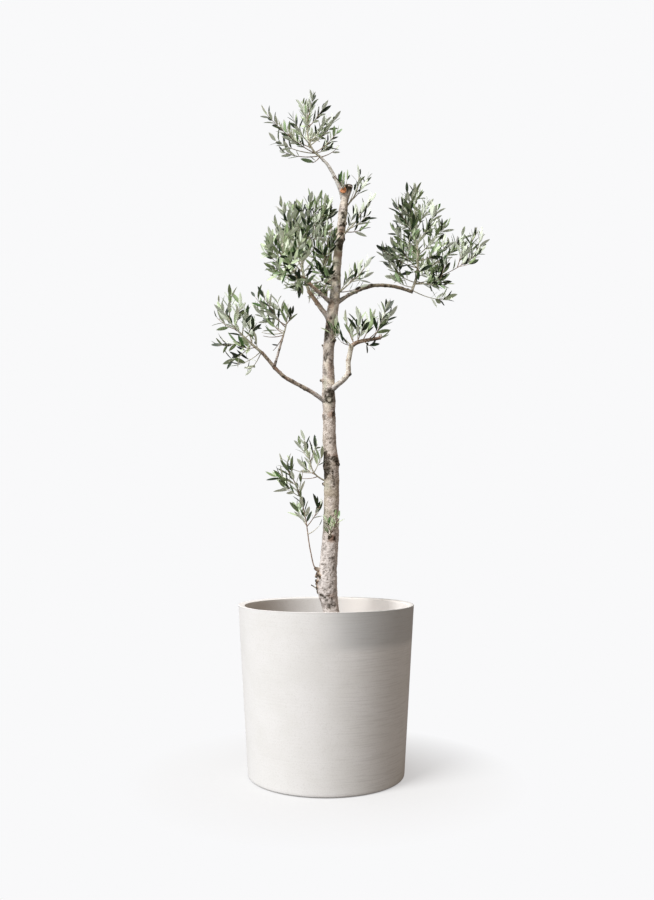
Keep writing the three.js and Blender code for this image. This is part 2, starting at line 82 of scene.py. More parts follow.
# Studio: a white floor that can't be told from the white wall behind it, a broad lamp high on the left, and
# light from the room, cool and bright on the left and warm and dim on the right. The floor shows shade only
# near the pot, and throws back less light than its white would.
WHITE = 0xF9F9FA
FLOOR_SIDE = 60000
FLOOR_COLOUR = 0xC8C8C8
FLOOR_THROWN_BACK = 0x7A7A7A
SHADE_FROM = 200
SHADE_TO = 480
SHADE_SHARE = 0.48
ROOM_LEFT = 0.62
ROOM_RIGHT = 0.37
ROOM_COOL = 0xFBFDFF
ROOM_WARM = 0xFFE4CA
LAMP_TURN = -48
LAMP_RISE = 46
LAMP_STRENGTH = 4.25
LAMP_SPREAD = 26


def linear(colour):
    """An sRGB hex colour as the linear red, green, blue and alpha that a shader takes."""
    parts = [((colour >> shift) & 0xFF) / 0xFF for shift in (16, 8, 0)]
    return [c / 12.92 if c <= 0.04045 else ((c + 0.055) / 1.055) ** 2.4 for c in parts] + [1]


def add(tree, kind, inputs=None, **settings):
    """Adds a node: settings are its own, and inputs are values, or sockets to link from."""
    made = tree.nodes.new("ShaderNode" + kind)
    for name, value in settings.items():
        setattr(made, name, value)
    for name, value in (inputs or {}).items():
        if isinstance(value, bpy.types.NodeSocket):
            tree.links.new(value, made.inputs[name])
        else:
            made.inputs[name].default_value = value
    return made


def object_from(name, vertices, faces, materials, face_materials=None, crease=None):
    """A smooth object from vertices in millimetres, sharp where its faces turn by more than its crease."""
    mesh = bpy.data.meshes.new(name)
    mesh.from_pydata((np.asarray(vertices) * MM).tolist(), [], faces)
    for material in materials:
        mesh.materials.append(material)
    if face_materials is not None:
        mesh.polygons.foreach_set("material_index", face_materials)
    mesh.shade_smooth()
    if crease:
        mesh.set_sharp_from_angle(angle=math.radians(crease))
    made = bpy.data.objects.new(name, mesh)
    bpy.context.scene.collection.objects.link(made)
    return made


# Paper: matt and white. It is seen shaded near the pot and plain white further off.
paper = bpy.data.materials.new("studio_paper")
paper.use_nodes = True
tree = paper.node_tree
tree.nodes.clear()
shaded = add(tree, "BsdfDiffuse", {"Color": linear(FLOOR_COLOUR)})
cleaned = add(tree, "Emission", {"Color": linear(WHITE)})
away = add(tree, "VectorMath", {0: add(tree, "TexCoord").outputs["Object"]}, operation="LENGTH")
share = add(
    tree,
    "MapRange",
    {
        "Value": away.outputs["Value"],
        "From Min": SHADE_FROM * MM,
        "From Max": SHADE_TO * MM,
        "To Min": SHADE_SHARE,
        "To Max": 0,
    },
)
seen = add(tree, "MixShader", {"Fac": share.outputs["Result"], 1: cleaned.outputs[0], 2: shaded.outputs[0]})
thrown = add(tree, "BsdfDiffuse", {"Color": linear(FLOOR_THROWN_BACK)})
ray = add(tree, "LightPath")
either = add(
    tree, "MixShader", {"Fac": ray.outputs["Is Camera Ray"], 1: thrown.outputs[0], 2: seen.outputs[0]}
)
add(tree, "OutputMaterial", {"Surface": either.outputs[0]})

corners = [(x * FLOOR_SIDE, y * FLOOR_SIDE, 0) for x, y in ((-1, -1), (1, -1), (1, 1), (-1, 1))]
floor = object_from("floor", corners, [(0, 1, 2, 3)], [paper])

room = bpy.data.worlds.new("room")
bpy.context.scene.world = room
room.use_nodes = True
tree = room.node_tree
tree.nodes.clear()
way = add(tree, "TexCoord")
parts = add(tree, "SeparateXYZ", {"Vector": way.outputs["Generated"]})
side = add(tree, "MapRange", {"Value": parts.outputs["X"], "From Min": -1, "From Max": 1})
tint = add(
    tree,
    "MixRGB",
    {"Fac": side.outputs["Result"], "Color1": linear(ROOM_COOL), "Color2": linear(ROOM_WARM)},
)
power = add(tree, "MapRange", {"Value": side.outputs["Result"], "To Min": ROOM_LEFT, "To Max": ROOM_RIGHT})
glow = add(tree, "Background", {"Color": tint.outputs["Color"], "Strength": power.outputs["Result"]})
wall = add(tree, "Background", {"Color": linear(WHITE)})
ray = add(tree, "LightPath")
either = add(
    tree, "MixShader", {"Fac": ray.outputs["Is Camera Ray"], 1: glow.outputs[0], 2: wall.outputs[0]}
)
add(tree, "OutputWorld", {"Surface": either.outputs[0]})

lamp = bpy.data.objects.new("lamp", bpy.data.lights.new("lamp", "SUN"))
lamp.data.energy = LAMP_STRENGTH
lamp.data.angle = math.radians(LAMP_SPREAD)
lamp.rotation_euler = (math.radians(90 - LAMP_RISE), 0, math.radians(LAMP_TURN))
bpy.context.scene.collection.objects.link(lamp)
bpy.context.scene.view_settings.view_transform = "Standard"

# Pot: a cover pot cast in fibre and stone powder, dry and matt. Its mould was turned, which left fine rings
# all the way up. The lip slopes inwards a little, and the lip and the foot are softly rounded.
POT_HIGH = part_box("pot")[1] / MM
POT_HEIGHT = POT_HIGH.z
POT_RIM_RADIUS = POT_HIGH.x
POT_TAPER = 22.8
POT_FOOT_RADIUS = POT_RIM_RADIUS - POT_TAPER
POT_WALL = 15
POT_FLOOR = 25
POT_CLOSING_RING = 1
POT_LIP_ROUND = 1.2
POT_LIP_SLOPE = 2.2
POT_FOOT_ROUND = 6
POT_ROUND_STEPS = 6
POT_SIDES = 240
POT_ROW_EVERY = 1.7
POT_ROWS_PER_INNER_ROW = 6
POT_ROWS_STOP = 0.5
RINGS_STOP = 1
RING_SPACING = 3.6
RING_DEPTH = 0.2
RING_WEAR = 0.25
RING_WEAR_HEIGHT = 9
LINE_SPACING = 3
LINE_STRETCH = 20
STONE_PALE = 0xDDDCDB
STONE_GREY = 0xD9D8D6
STONE_GRIT = 0xCBC9C6
STONE_BAND = 0xBFC0C0
STONE_LINE = 0x9B9793
# Painted light: the inside is painted this paler colour on its right.
STONE_INSIDE_PAINTED_LIGHT = 0xE9E5E1
BAND_FOOT = 328
BAND_FADE = 14
BAND_FROM = -30
BAND_FULL = 85
GRIT_SIZE = 2.6
GRIT_DEPTH = 0.35
CLOUD_SIZE = 70


def finish(name, roughness, ior=1.5):
    """A new material with its roughness and IOR, with its node tree and its shader."""
    made = bpy.data.materials.new(name)
    made.use_nodes = True
    shader = made.node_tree.nodes["Principled BSDF"]
    shader.inputs["Roughness"].default_value = roughness
    shader.inputs["IOR"].default_value = ior
    return made, made.node_tree, shader


def lay_films(tree, shader, under, films):
    """Lays films of colour on a ground, each as thick as its share, and gives the top one to the shader."""
    for share, colour in films:
        mixed = add(tree, "MixRGB", {"Fac": share, "Color1": under, "Color2": linear(colour)})
        under = mixed.outputs["Color"]
    tree.links.new(under, shader.inputs["Base Color"])


# Cast stone powder: a dry matt face, cloudy, with fine grit. On its right a band below the rim and the fine
# lines of the mould are darker, and the inside there is painted paler, as painted light. Real grit and lines
# are under a millimetre, and are drawn coarser here so that they show.
cast_stone, tree, shader = finish("cast_stone_powder", roughness=0.88)
place = add(tree, "TexCoord").outputs["Object"]
parts = add(tree, "SeparateXYZ", {"Vector": place})
right_side = add(
    tree,
    "MapRange",
    {"Value": parts.outputs["X"], "From Min": BAND_FROM * MM, "From Max": BAND_FULL * MM},
    interpolation_type="SMOOTHSTEP",
).outputs["Result"]
above = add(
    tree,
    "MapRange",
    {
        "Value": parts.outputs["Z"],
        "From Min": (BAND_FOOT - BAND_FADE) * MM,
        "From Max": (BAND_FOOT + BAND_FADE) * MM,
    },
    interpolation_type="SMOOTHSTEP",
)
band = add(tree, "Math", {0: above.outputs["Result"], 1: right_side}, operation="MULTIPLY")
clouds = add(tree, "TexNoise", {"Vector": place, "Scale": 1 / (CLOUD_SIZE * MM), "Detail": 4})
cloudy = add(tree, "MapRange", {"Value": clouds.outputs["Fac"], "From Min": 0.38, "From Max": 0.62})
flat = add(tree, "Mapping", {"Vector": place, "Scale": (1 / LINE_STRETCH, 1 / LINE_STRETCH, 1)})
lines = add(
    tree, "TexNoise", {"Vector": flat.outputs["Vector"], "Scale": 1 / (LINE_SPACING * MM), "Detail": 3}
)
lined = add(
    tree, "MapRange", {"Value": lines.outputs["Fac"], "From Min": 0.5, "From Max": 0.68, "To Max": 0.2}
)
right_lines = add(tree, "Math", {0: lined.outputs["Result"], 1: right_side}, operation="MULTIPLY")
grit = add(tree, "TexNoise", {"Vector": place, "Scale": 1 / (GRIT_SIZE * MM), "Detail": 2})
gritty = add(
    tree, "MapRange", {"Value": grit.outputs["Fac"], "From Min": 0.52, "From Max": 0.7, "To Max": 0.5}
)
# The inside is painted paler on the right, as painted light.
inner = add(tree, "Attribute", attribute_name="inside")
painted_light_inside = add(tree, "Math", {0: inner.outputs["Fac"], 1: right_side}, operation="MULTIPLY")
stone_films = [
    (cloudy.outputs["Result"], STONE_GREY),
    (band.outputs["Value"], STONE_BAND),
    (right_lines.outputs["Value"], STONE_LINE),
    (gritty.outputs["Result"], STONE_GRIT),
    (painted_light_inside.outputs["Value"], STONE_INSIDE_PAINTED_LIGHT),
]
lay_films(tree, shader, linear(STONE_PALE), stone_films)
bump = add(tree, "Bump", {"Height": grit.outputs["Fac"], "Distance": GRIT_DEPTH * MM, "Strength": 0.6})
tree.links.new(bump.outputs["Normal"], shader.inputs["Normal"])


def keep_values(made, name, values):
    """Keeps a number for each vertex of a mesh, for its material to read."""
    made.data.attributes.new(name, "FLOAT", "POINT").data.foreach_set("value", values)


def ring_faces(rings, sides):
    """Quads between rings of points, and one face across each end."""
    faces = []
    for low in range(0, (rings - 1) * sides, sides):
        for side in range(sides):
            beside = (side + 1) % sides
            faces.append((low + side, low + beside, low + sides + beside, low + sides + side))
    faces.append(tuple(reversed(range(sides))))
    faces.append(tuple(range((rings - 1) * sides, rings * sides)))
    return faces


def rounded(middle_radius, middle_height, size, from_angle, to_angle):
    """Points of a quarter round, from its middle, its size and two angles, as radius and height."""
    turns = np.radians(np.linspace(from_angle, to_angle, POT_ROUND_STEPS + 1))
    return [(middle_radius + size * math.cos(t), middle_height + size * math.sin(t)) for t in turns]


def wall_radius(height):
    """The outside radius of the tapered wall."""
    return POT_FOOT_RADIUS + (POT_RIM_RADIUS - POT_FOOT_RADIUS) * height / POT_HEIGHT


rows_end = POT_HEIGHT - POT_LIP_ROUND - POT_ROWS_STOP
outside = np.arange(POT_FOOT_ROUND + POT_ROW_EVERY, rows_end, POT_ROW_EVERY)
lip_outside = POT_RIM_RADIUS - POT_LIP_ROUND
lip_inside = POT_RIM_RADIUS - POT_WALL + POT_LIP_ROUND
profile = [(POT_CLOSING_RING, 0)]
profile += rounded(wall_radius(0) - POT_FOOT_ROUND, POT_FOOT_ROUND, POT_FOOT_ROUND, -90, 0)
profile += [(wall_radius(height), height) for height in outside]
profile += rounded(lip_outside, POT_HEIGHT - POT_LIP_ROUND, POT_LIP_ROUND, 0, 90)
outer_points = len(profile)
profile += rounded(lip_inside, POT_HEIGHT - POT_LIP_SLOPE - POT_LIP_ROUND, POT_LIP_ROUND, 90, 180)
# The inside is plain, so it has few rows. They start two rows below the lip's round.
inside = outside[-3::-POT_ROWS_PER_INNER_ROW]
profile += [(wall_radius(height) - POT_WALL, height) for height in inside]
profile += [(wall_radius(POT_FLOOR) - POT_WALL, POT_FLOOR), (POT_CLOSING_RING, POT_FLOOR)]

vertices = []
for radius, height in profile:
    ring = noise.noise(Vector((0, 0, height / RING_SPACING)))
    for side in range(POT_SIDES):
        turn = 2 * math.pi * side / POT_SIDES
        worn = noise.noise(Vector((math.cos(turn) * 2, math.sin(turn) * 2, height / RING_WEAR_HEIGHT)))
        depth = RING_DEPTH * (0.5 - 0.5 * ring) + RING_WEAR * RING_DEPTH * (1 + worn)
        reach = radius - (depth if POT_FOOT_ROUND < height < POT_HEIGHT - RINGS_STOP else 0)
        vertices.append((reach * math.cos(turn), reach * math.sin(turn), height))
pot = object_from("pot_shell", vertices, ring_faces(len(profile), POT_SIDES), [cast_stone], crease=50)
keep_values(pot, "inside", [float(i >= outer_points * POT_SIDES) for i in range(len(vertices))])
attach(pot, "root")
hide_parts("pot")

# Soil: loose potting mix of peat and composted bark, with some pale pumice grains, poured in and settled a
# little below the rim and firmed round the stem.
SOIL_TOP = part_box("soil")[1].z / MM
SOIL_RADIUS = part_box("soil")[1].x / MM
SOIL_RINGS = 70
SOIL_SIDES = 200
SOIL_MIDDLE_RING = 0.5
SOIL_SWELL = 5
SOIL_SWELL_SPAN = 60
SOIL_CRUMBLE = 1.6
SOIL_CRUMBLE_SPAN = 9
SOIL_SKIRT = 30
CRUMBS = 2600
CRUMB_SIZES = (1.5, 5.5)
CRUMB_REACHES = (0.35, 0.75)
CRUMB_KNOCK = 0.5
CRUMB_SUNK = 0.2
CRUMBS_FROM_WALL = 6
PUMICE_SHARE = 0.06
MIX_DARK = 0x2E2119
MIX_BROWN = 0x5A4331
PUMICE_PALE = 0xC9C0B0
PUMICE_PORES = 0x9C9384
PUMICE_PORE_SIZE = 1.1
MIX_GRAIN = 5
MIX_GRAIN_DEPTH = 2


def series(seed):
    """Draws the same numbers between 0 and 1 each time for a seed."""
    state = seed

    def draw():
        nonlocal state
        state = (state * 1664525 + 1013904223) % 2**32
        return state / 2**32

    return draw


def between(limits, share):
    """A value at a share of the way between two limits."""
    low, high = limits
    return low + (high - low) * share


def counted_on(faces, first):
    """The same faces with their corners counted from first, for a mesh that more is added to."""
    return [tuple(first + corner for corner in face) for face in faces]


# Peat and composted bark: dark brown, dull, with lighter fibres.
potting_mix, tree, shader = finish("peat_and_bark_mix", roughness=0.95)
place = add(tree, "TexCoord").outputs["Object"]
grain = add(tree, "TexNoise", {"Vector": place, "Scale": 1 / (MIX_GRAIN * MM), "Detail": 5})
share = add(tree, "MapRange", {"Value": grain.outputs["Fac"], "From Min": 0.4, "From Max": 0.65})
lay_films(tree, shader, linear(MIX_DARK), [(share.outputs["Result"], MIX_BROWN)])
bump = add(tree, "Bump", {"Height": grain.outputs["Fac"], "Distance": MIX_GRAIN_DEPTH * MM})
tree.links.new(bump.outputs["Normal"], shader.inputs["Normal"])

# Pumice: pale, light volcanic grains, rough with pores.
pumice, tree, shader = finish("pumice", roughness=0.9)
place = add(tree, "TexCoord").outputs["Object"]
pores = add(tree, "TexNoise", {"Vector": place, "Scale": 1 / (PUMICE_PORE_SIZE * MM)})
lay_films(tree, shader, linear(PUMICE_PORES), [(pores.outputs["Fac"], PUMICE_PALE)])


def soil_height(x, y):
    """The height of the soil's uneven top, which never rises over the level that it was filled to."""
    swell = noise.fractal(Vector((x / SOIL_SWELL_SPAN, y / SOIL_SWELL_SPAN, 0)), 1, 2, 2)
    crumbly = noise.fractal(Vector((x / SOIL_CRUMBLE_SPAN, y / SOIL_CRUMBLE_SPAN, 4)), 1, 2, 3)
    return SOIL_TOP - SOIL_SWELL * (0.5 - 0.5 * swell) - SOIL_CRUMBLE * (1 - crumbly)


vertices = []
for ring in range(SOIL_RINGS + 1):
    reach = SOIL_RADIUS * (1 - ring / SOIL_RINGS) + SOIL_MIDDLE_RING
    for side in range(SOIL_SIDES):
        turn = 2 * math.pi * side / SOIL_SIDES
        x = reach * math.cos(turn)
        y = reach * math.sin(turn)
        vertices.append((x, y, soil_height(x, y)))
foot = [(x, y, SOIL_TOP - SOIL_SKIRT) for x, y, _ in vertices[:SOIL_SIDES]]
bed = object_from(
    "soil_bed", foot + vertices, ring_faces(SOIL_RINGS + 2, SOIL_SIDES), [potting_mix], crease=70
)
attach(bed, "root")
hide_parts("soil")

# A crumb is eight faces between six points, two on each axis, each knocked out of its place.
CRUMB_FACES = ((0, 2, 4), (2, 1, 4), (1, 3, 4), (3, 0, 4), (2, 0, 5), (1, 2, 5), (3, 1, 5), (0, 3, 5))
draw = series(3)
vertices = []
faces = []
grains = []
for _ in range(CRUMBS):
    reach = (SOIL_RADIUS - CRUMBS_FROM_WALL) * math.sqrt(draw())
    turn = 2 * math.pi * draw()
    x = reach * math.cos(turn)
    y = reach * math.sin(turn)
    size = between(CRUMB_SIZES, draw() ** 3)
    kind = 1 if draw() < PUMICE_SHARE else 0
    faces += counted_on(CRUMB_FACES, len(vertices))
    grains += [kind] * len(CRUMB_FACES)
    for axis in range(3):
        for hand in (1, -1):
            point = np.array([x, y, soil_height(x, y) - CRUMB_SUNK * size])
            point[axis] += hand * size * between(CRUMB_REACHES, draw())
            point[(axis + 1) % 3] += size * (draw() - 0.5) * CRUMB_KNOCK
            vertices.append(point)
crumbs = object_from("soil_crumbs", vertices, faces, [potting_mix, pumice], grains, crease=30)
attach(crumbs, "root")
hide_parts("soil")

# Trunk: smooth pale olive bark over hard wood, with a flared foot, a waist above it, dark knots where shoots
# were rubbed off, and a lean near the top. It grows on a line of level sections up from the soil.
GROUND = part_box("trunk")[0].z / MM
TRUNK_FOOT_SUNK = 12
TRUNK_SIDES = 108
TRUNK_RING_EVERY = 1.7
LINE_STEPS = 24
# [height above the soil, sideways, backwards, radius], from the flat cut at the soil to the top.
TRUNK = [
    [0, 14, 0, 27],
    [24, 14, 0, 22],
    [50, 11, 0, 20],
    [74, 6, 0, 21.5],
    [100, 3, 0, 23.5],
    [150, 5, 1, 21],
    [219, 10, 3, 19.5],
    [315, 13, 4, 18.2],
    [412, 12, 2, 18.2],
    [440, 9, 1, 16.3],
    [532, 7, -1, 15.2],
    [557, 6, -2, 16.4],
    [600, 6, -2, 14.6],
    [677, 6, -2, 13.4],
    [774, 16, 0, 13.8],
    [822, 22, 0, 12.4],
    [894, 26, 2, 10.8],
    [968, 36, 3, 10.2],
    [1030, 43, 3, 10.4],
    [1074, 53, 2, 10.6],
]
# The bark's relief, with how far apart its waves stand: flutes, as a share of the radius, lumps and
# wrinkles, which are deeper where the bark is rough, and cracks, which come in patches.
FLUTE_DEPTH = 0.012
LUMP_DEPTH = 1.1
LUMP_SPAN = 24
WRINKLE_DEPTH = 0.5
WRINKLE_SPAN = 6
WRINKLE_RISE = 4
CRACK_DEPTH = 0.5
CRACK_SPAN = 10
CRACK_RISE = 3.5
CRACK_WIDTH = 0.12
CRACK_PATCH = 15
# Knots, where shoots were rubbed off, each a rusty swelling with a dark pit in it: [height, turn, size].
KNOT_SWELL = 0.38
KNOT_PIT = 0.55
KNOT_PIT_SIZE = 0.36
KNOTS = [
    [106, 182, 10],
    [132, 186, 9],
    [226, -88, 7],
    [404, 12, 8],
    [396, 205, 8],
    [406, -48, 7],
    [520, -52, 7],
    [517, -166, 6],
    [545, 120, 8],
    [602, 186, 6],
    [685, 184, 5],
    [698, -14, 7],
    [828, -39, 4],
    [846, -112, 6],
    [943, -20, 7],
    [1003, -80, 4],
    [310, 40, 7],
    [640, 70, 6],
    [860, 60, 6],
]
# Marks on the bark: [height above the soil, turn, half width round the bark, half height, strength]. Dark
# ones are creases, holes and shadows, rust ones are where the outer bark has flaked, lichen is a grey-green
# film, and worn ones are where the bark is rubbed pale. A mark is full to about 0.9 of its half sizes and
# gone by 1.5 of them, with a ragged edge. The marks were picked by eye in the photograph, and a separate
# script worked out many of these rows from their places there.
MARK_FULL = 2.5
MARK_FADE = 1.7
MARK_RAGGED = 0.5
MARKS = {
    "dark": [
        [62, -98, 2.9, 4.8, 0.4], [64, -51, 3.7, 4.8, 0.45], [71, -69, 3.6, 5.8, 0.45],
        [74, -150, 4.3, 5.3, 0.6], [75, -105, 4, 2.4, 0.7], [81, -111, 4.1, 2.7, 0.9],
        [81, -73, 5, 1.9, 0.6], [86, -129, 7, 3.9, 1], [86, -88, 5.6, 1.4, 0.7], [92, -81, 4.9, 1.4, 0.8],
        [98, -39, 3.4, 4.3, 0.5], [101, -105, 2.5, 1.7, 0.6], [107, -72, 2, 3.4, 0.5],
        [117, -56, 2.3, 3.9, 0.5], [116, -150, 6, 5.8, 0.4], [122, -128, 3.1, 2.4, 0.5],
        [127, -92, 1.7, 2.9, 0.5], [141, -121, 2.3, 3.9, 0.5], [146, -78, 1.7, 3.4, 0.5],
        [156, -50, 2.5, 3.9, 0.5], [161, -126, 7.8, 1.4, 0.5], [176, -73, 7, 1.5, 1],
        [197, -133, 7, 3.4, 0.4], [223, -59, 3, 3.6, 0.8], [225, -98, 3, 3.4, 1],
        [287, -59, 4, 3.1, 0.8], [355, -70, 8, 14.5, 0.2], [370, -166, 15, 7.2, 1],
        [354, -72, 1.4, 8, 0.6], [373, -140, 6, 7, 0.9], [376, -80, 1.4, 10, 0.7], [397, -126, 8, 25, 0.7],
        [398, -166, 6, 24, 0.9], [402, -48, 5, 5, 0.9], [411, -56, 8, 7, 0.85], [415, -92, 5, 4, 0.5],
        [427, -146, 5, 3, 0.8], [452, -86, 2, 1.7, 0.5], [463, -82, 2, 1.9, 0.8],
        [516, -137, 4, 7.2, 0.5], [518, -60, 2, 5.8, 0.5], [525, -14, 10, 9.6, 0.6],
        [555, -121, 5, 7.2, 0.7], [555, -39, 6, 7.2, 0.6], [571, -90, 13, 7.2, 0.6],
        [579, -48, 14, 7.2, 0.55], [624, -128, 4, 7.7, 0.5], [636, -60, 4, 14.5, 0.3],
        [660, -124, 4, 9.6, 0.4], [675, -76, 6, 7.2, 0.2], [696, -14, 11, 3.9, 0.8],
        [708, -143, 7, 9.6, 0.6], [720, -129, 9, 11.1, 0.75], [751, -99, 3, 3.4, 0.7],
        [771, -145, 7, 7.2, 0.5], [792, -125, 7, 9.6, 0.6], [816, -101, 6, 7.2, 0.15],
        [826, -39, 5, 3.1, 1], [847, -118, 9, 7.2, 0.5], [857, -164, 11, 5.8, 0.6],
        [859, -68, 8, 5.8, 0.5], [873, -79, 2, 4.8, 0.4], [884, -92, 12, 1.5, 0.6],
        [924, -59, 7, 9.6, 0.9], [939, -14, 14, 4.6, 1], [955, -77, 5, 3.6, 0.85],
        [965, -45, 10, 2.4, 0.6], [976, -84, 8, 1.9, 0.8], [979, -14, 7, 6.3, 0.8],
        [982, -14, 14, 1.7, 0.6], [997, -64, 4, 3.9, 0.7], [1005, -97, 3, 3.4, 0.8],
        [1013, -30, 5, 2.4, 0.4], [1023, -137, 3, 7.2, 0.3], [1042, -14, 6, 9.6, 0.4],
        [1056, -82, 2, 4.8, 0.8], [1067, -55, 17, 9, 1], [1069, 20, 16, 8, 1], [1069, 90, 16, 8, 1],
    ],
    "rust": [
        [85, -69, 8, 4.8, 0.35],
        [222, -76, 7, 7.7, 0.5], [422, -124, 9, 4.8, 0.4], [422, -44, 10, 4.8, 0.4],
        [520, -78, 6, 7.2, 0.4], [622, -71, 5, 19.3, 0.3], [742, -127, 6, 14.5, 0.4],
        [783, -114, 6, 12.1, 0.5], [905, -41, 15, 7.2, 0.4], [958, -87, 4, 6.3, 0.3],
        [963, -60, 9, 9.6, 0.3],
    ],
    "lichen": [
        [257, -103, 10, 14.5, 0.2], [269, -162, 17, 19.3, 0.4], [350, -166, 17, 14.5, 0.4],
        [552, -88, 12, 12.1, 0.4], [593, -126, 6, 14.5, 0.4], [747, -76, 6, 14.5, 0.5],
        [783, -103, 7, 14.5, 0.3], [814, -111, 8, 14.5, 0.2], [845, -112, 13, 12.1, 0.35],
        [886, -136, 14, 12.1, 0.5], [924, -59, 11, 14.5, 0.5], [1001, -73, 8, 9.6, 0.35],
    ],
    "worn": [
        [538, -105, 7, 14, 0.5], [597, -66, 11, 7, 1], [640, -110, 5, 16, 0.5], [682, -100, 8, 7, 0.5],
        [742, -108, 5, 9, 0.5], [770, -103, 6, 10, 0.7], [806, -75, 5, 7, 0.8], [817, -120, 4, 5, 0.6],
        [836, -112, 5, 9, 0.9], [850, -60, 3, 5, 0.6], [873, -103, 6, 4, 0.8], [896, -105, 6, 6, 0.8],
        [912, -85, 4, 5, 0.6], [950, -110, 5, 5, 0.6], [990, -100, 6, 7, 0.6], [1033, -95, 6, 11, 0.6],
    ],
}
# Round scars where a bough was cut long ago, pale in the middle with a dark rim: [height, turn, size].
SCARS = [[555, -86, 7]]
# How rough the bark is, how much of it is aged, dull and olive, and how much is ashy, without any brown, by
# the height above the soil: [height, share]. The ashy film is partly painted light: it lifts the bark where
# the crown shades it, and greys the foot against the warm light thrown up from the pot.
ROUGH = [[0, 1.7], [170, 1.5], [240, 1.2], [450, 1], [620, 1.05], [700, 1.2], [860, 1.7], [1074, 1.6]]
AGED = [
    [0, 0], [230, 0], [265, 0.15], [290, 0.45], [330, 0.55], [430, 0.1], [540, 0.1], [720, 0.05],
    [790, 0.1], [840, 0], [860, 0.35], [895, 0.4], [930, 0.7], [965, 0.5], [985, 0.05], [1074, 0.05],
]
ASHY_AND_PAINTED_LIGHT = [[0, 0.35], [120, 0.55], [200, 0.45], [260, 0], [790, 0], [820, 0.4], [850, 0.3], [880, 0], [1074, 0]]
BARK_PALE = 0xDDD2CA
BARK_GREY = 0xB5A99F
BARK_CREASE = 0x74675A
BARK_FLECK = 0xEDE5DF
# The colour of the ashy film, which is partly painted light.
BARK_ASHY_AND_PAINTED_LIGHT = 0xD3D0D0
BARK_FILMS = {
    "aged": 0xA79C84,
    "lichen": 0x9DA48C,
    "worn": 0xECE1D0,
    "rust": 0x9A745C,
    "dark": 0x352D1E,
}
BARK_KEPT = ["hollow", "ashy_and_painted_light", *BARK_FILMS]
BARK_PATCH = 15
BARK_MARK = 4
BARK_MARK_FLAT = 1.9
BARK_PORE = 1.6
PORE_DEPTH = 0.5


def heading(turn, rise):
    """A direction from its turn round the vertical and its rise above level, in degrees."""
    level = math.cos(math.radians(rise))
    turn = math.radians(turn)
    return np.array([level * math.cos(turn), level * math.sin(turn), math.sin(math.radians(rise))])


class Line:
    """A line through points that lie close together, read by the share of its length."""

    def __init__(self, points):
        self.points = np.array(points, float)
        steps = np.linalg.norm(np.diff(self.points, axis=0), axis=1)
        self.run = np.concatenate([[0], np.cumsum(steps)])
        self.length = self.run[-1]

    def at(self, share):
        """The point there."""
        return np.array([np.interp(share * self.length, self.run, axis) for axis in self.points.T])

    def way(self, share):
        """The direction there, from just before to just after."""
        ahead = self.at(min(share + 0.01, 1)) - self.at(max(share - 0.01, 0))
        return ahead / np.linalg.norm(ahead)


def smooth_line(points):
    """A centripetal Catmull-Rom line through the points, straight where there are only two."""
    points = np.array(points, float)
    if len(points) == 2:
        return Line(np.linspace(points[0], points[1], LINE_STEPS))
    ends = [2 * points[0] - points[1], *points, 2 * points[-1] - points[-2]]
    run = []
    for before, start, end, after in zip(ends, ends[1:], ends[2:], ends[3:]):
        step = end - start
        gap_before = np.linalg.norm(start - before) ** 0.5
        gap = np.linalg.norm(step) ** 0.5
        gap_after = np.linalg.norm(after - end) ** 0.5
        leave = step + (start - before) * gap / gap_before - (end - before) * gap / (gap_before + gap)
        arrive = step + (after - end) * gap / gap_after - (after - start) * gap / (gap + gap_after)
        for t in np.arange(LINE_STEPS) / LINE_STEPS:
            curve = (3 * step - 2 * leave - arrive) * t**2 + (leave + arrive - 2 * step) * t**3
            run.append(start + leave * t + curve)
    run.append(points[-1])
    return Line(run)


def line_from(start, legs):
    """A smooth line that starts at a point and runs in legs of [turn, rise, length]."""
    points = [start]
    for turn, rise, length in legs:
        points.append(points[-1] + heading(turn, rise) * length)
    return smooth_line(points)


trunk_line = smooth_line([(x, y, GROUND + height) for height, x, y, _ in TRUNK])


def trunk_at(height):
    """The middle of the trunk at a height above the soil."""
    level = trunk_line.points[:, 2]
    return np.array([np.interp(GROUND + height, level, axis) for axis in trunk_line.points.T])


def trunk_radius(height):
    """The trunk's radius, easing from each station to the next."""
    if height <= 0:
        return TRUNK[0][3]
    for low, high in zip(TRUNK, TRUNK[1:]):
        if height <= high[0]:
            share = (height - low[0]) / (high[0] - low[0])
            return low[3] + (high[3] - low[3]) * share * share * (3 - 2 * share)
    return TRUNK[-1][3]


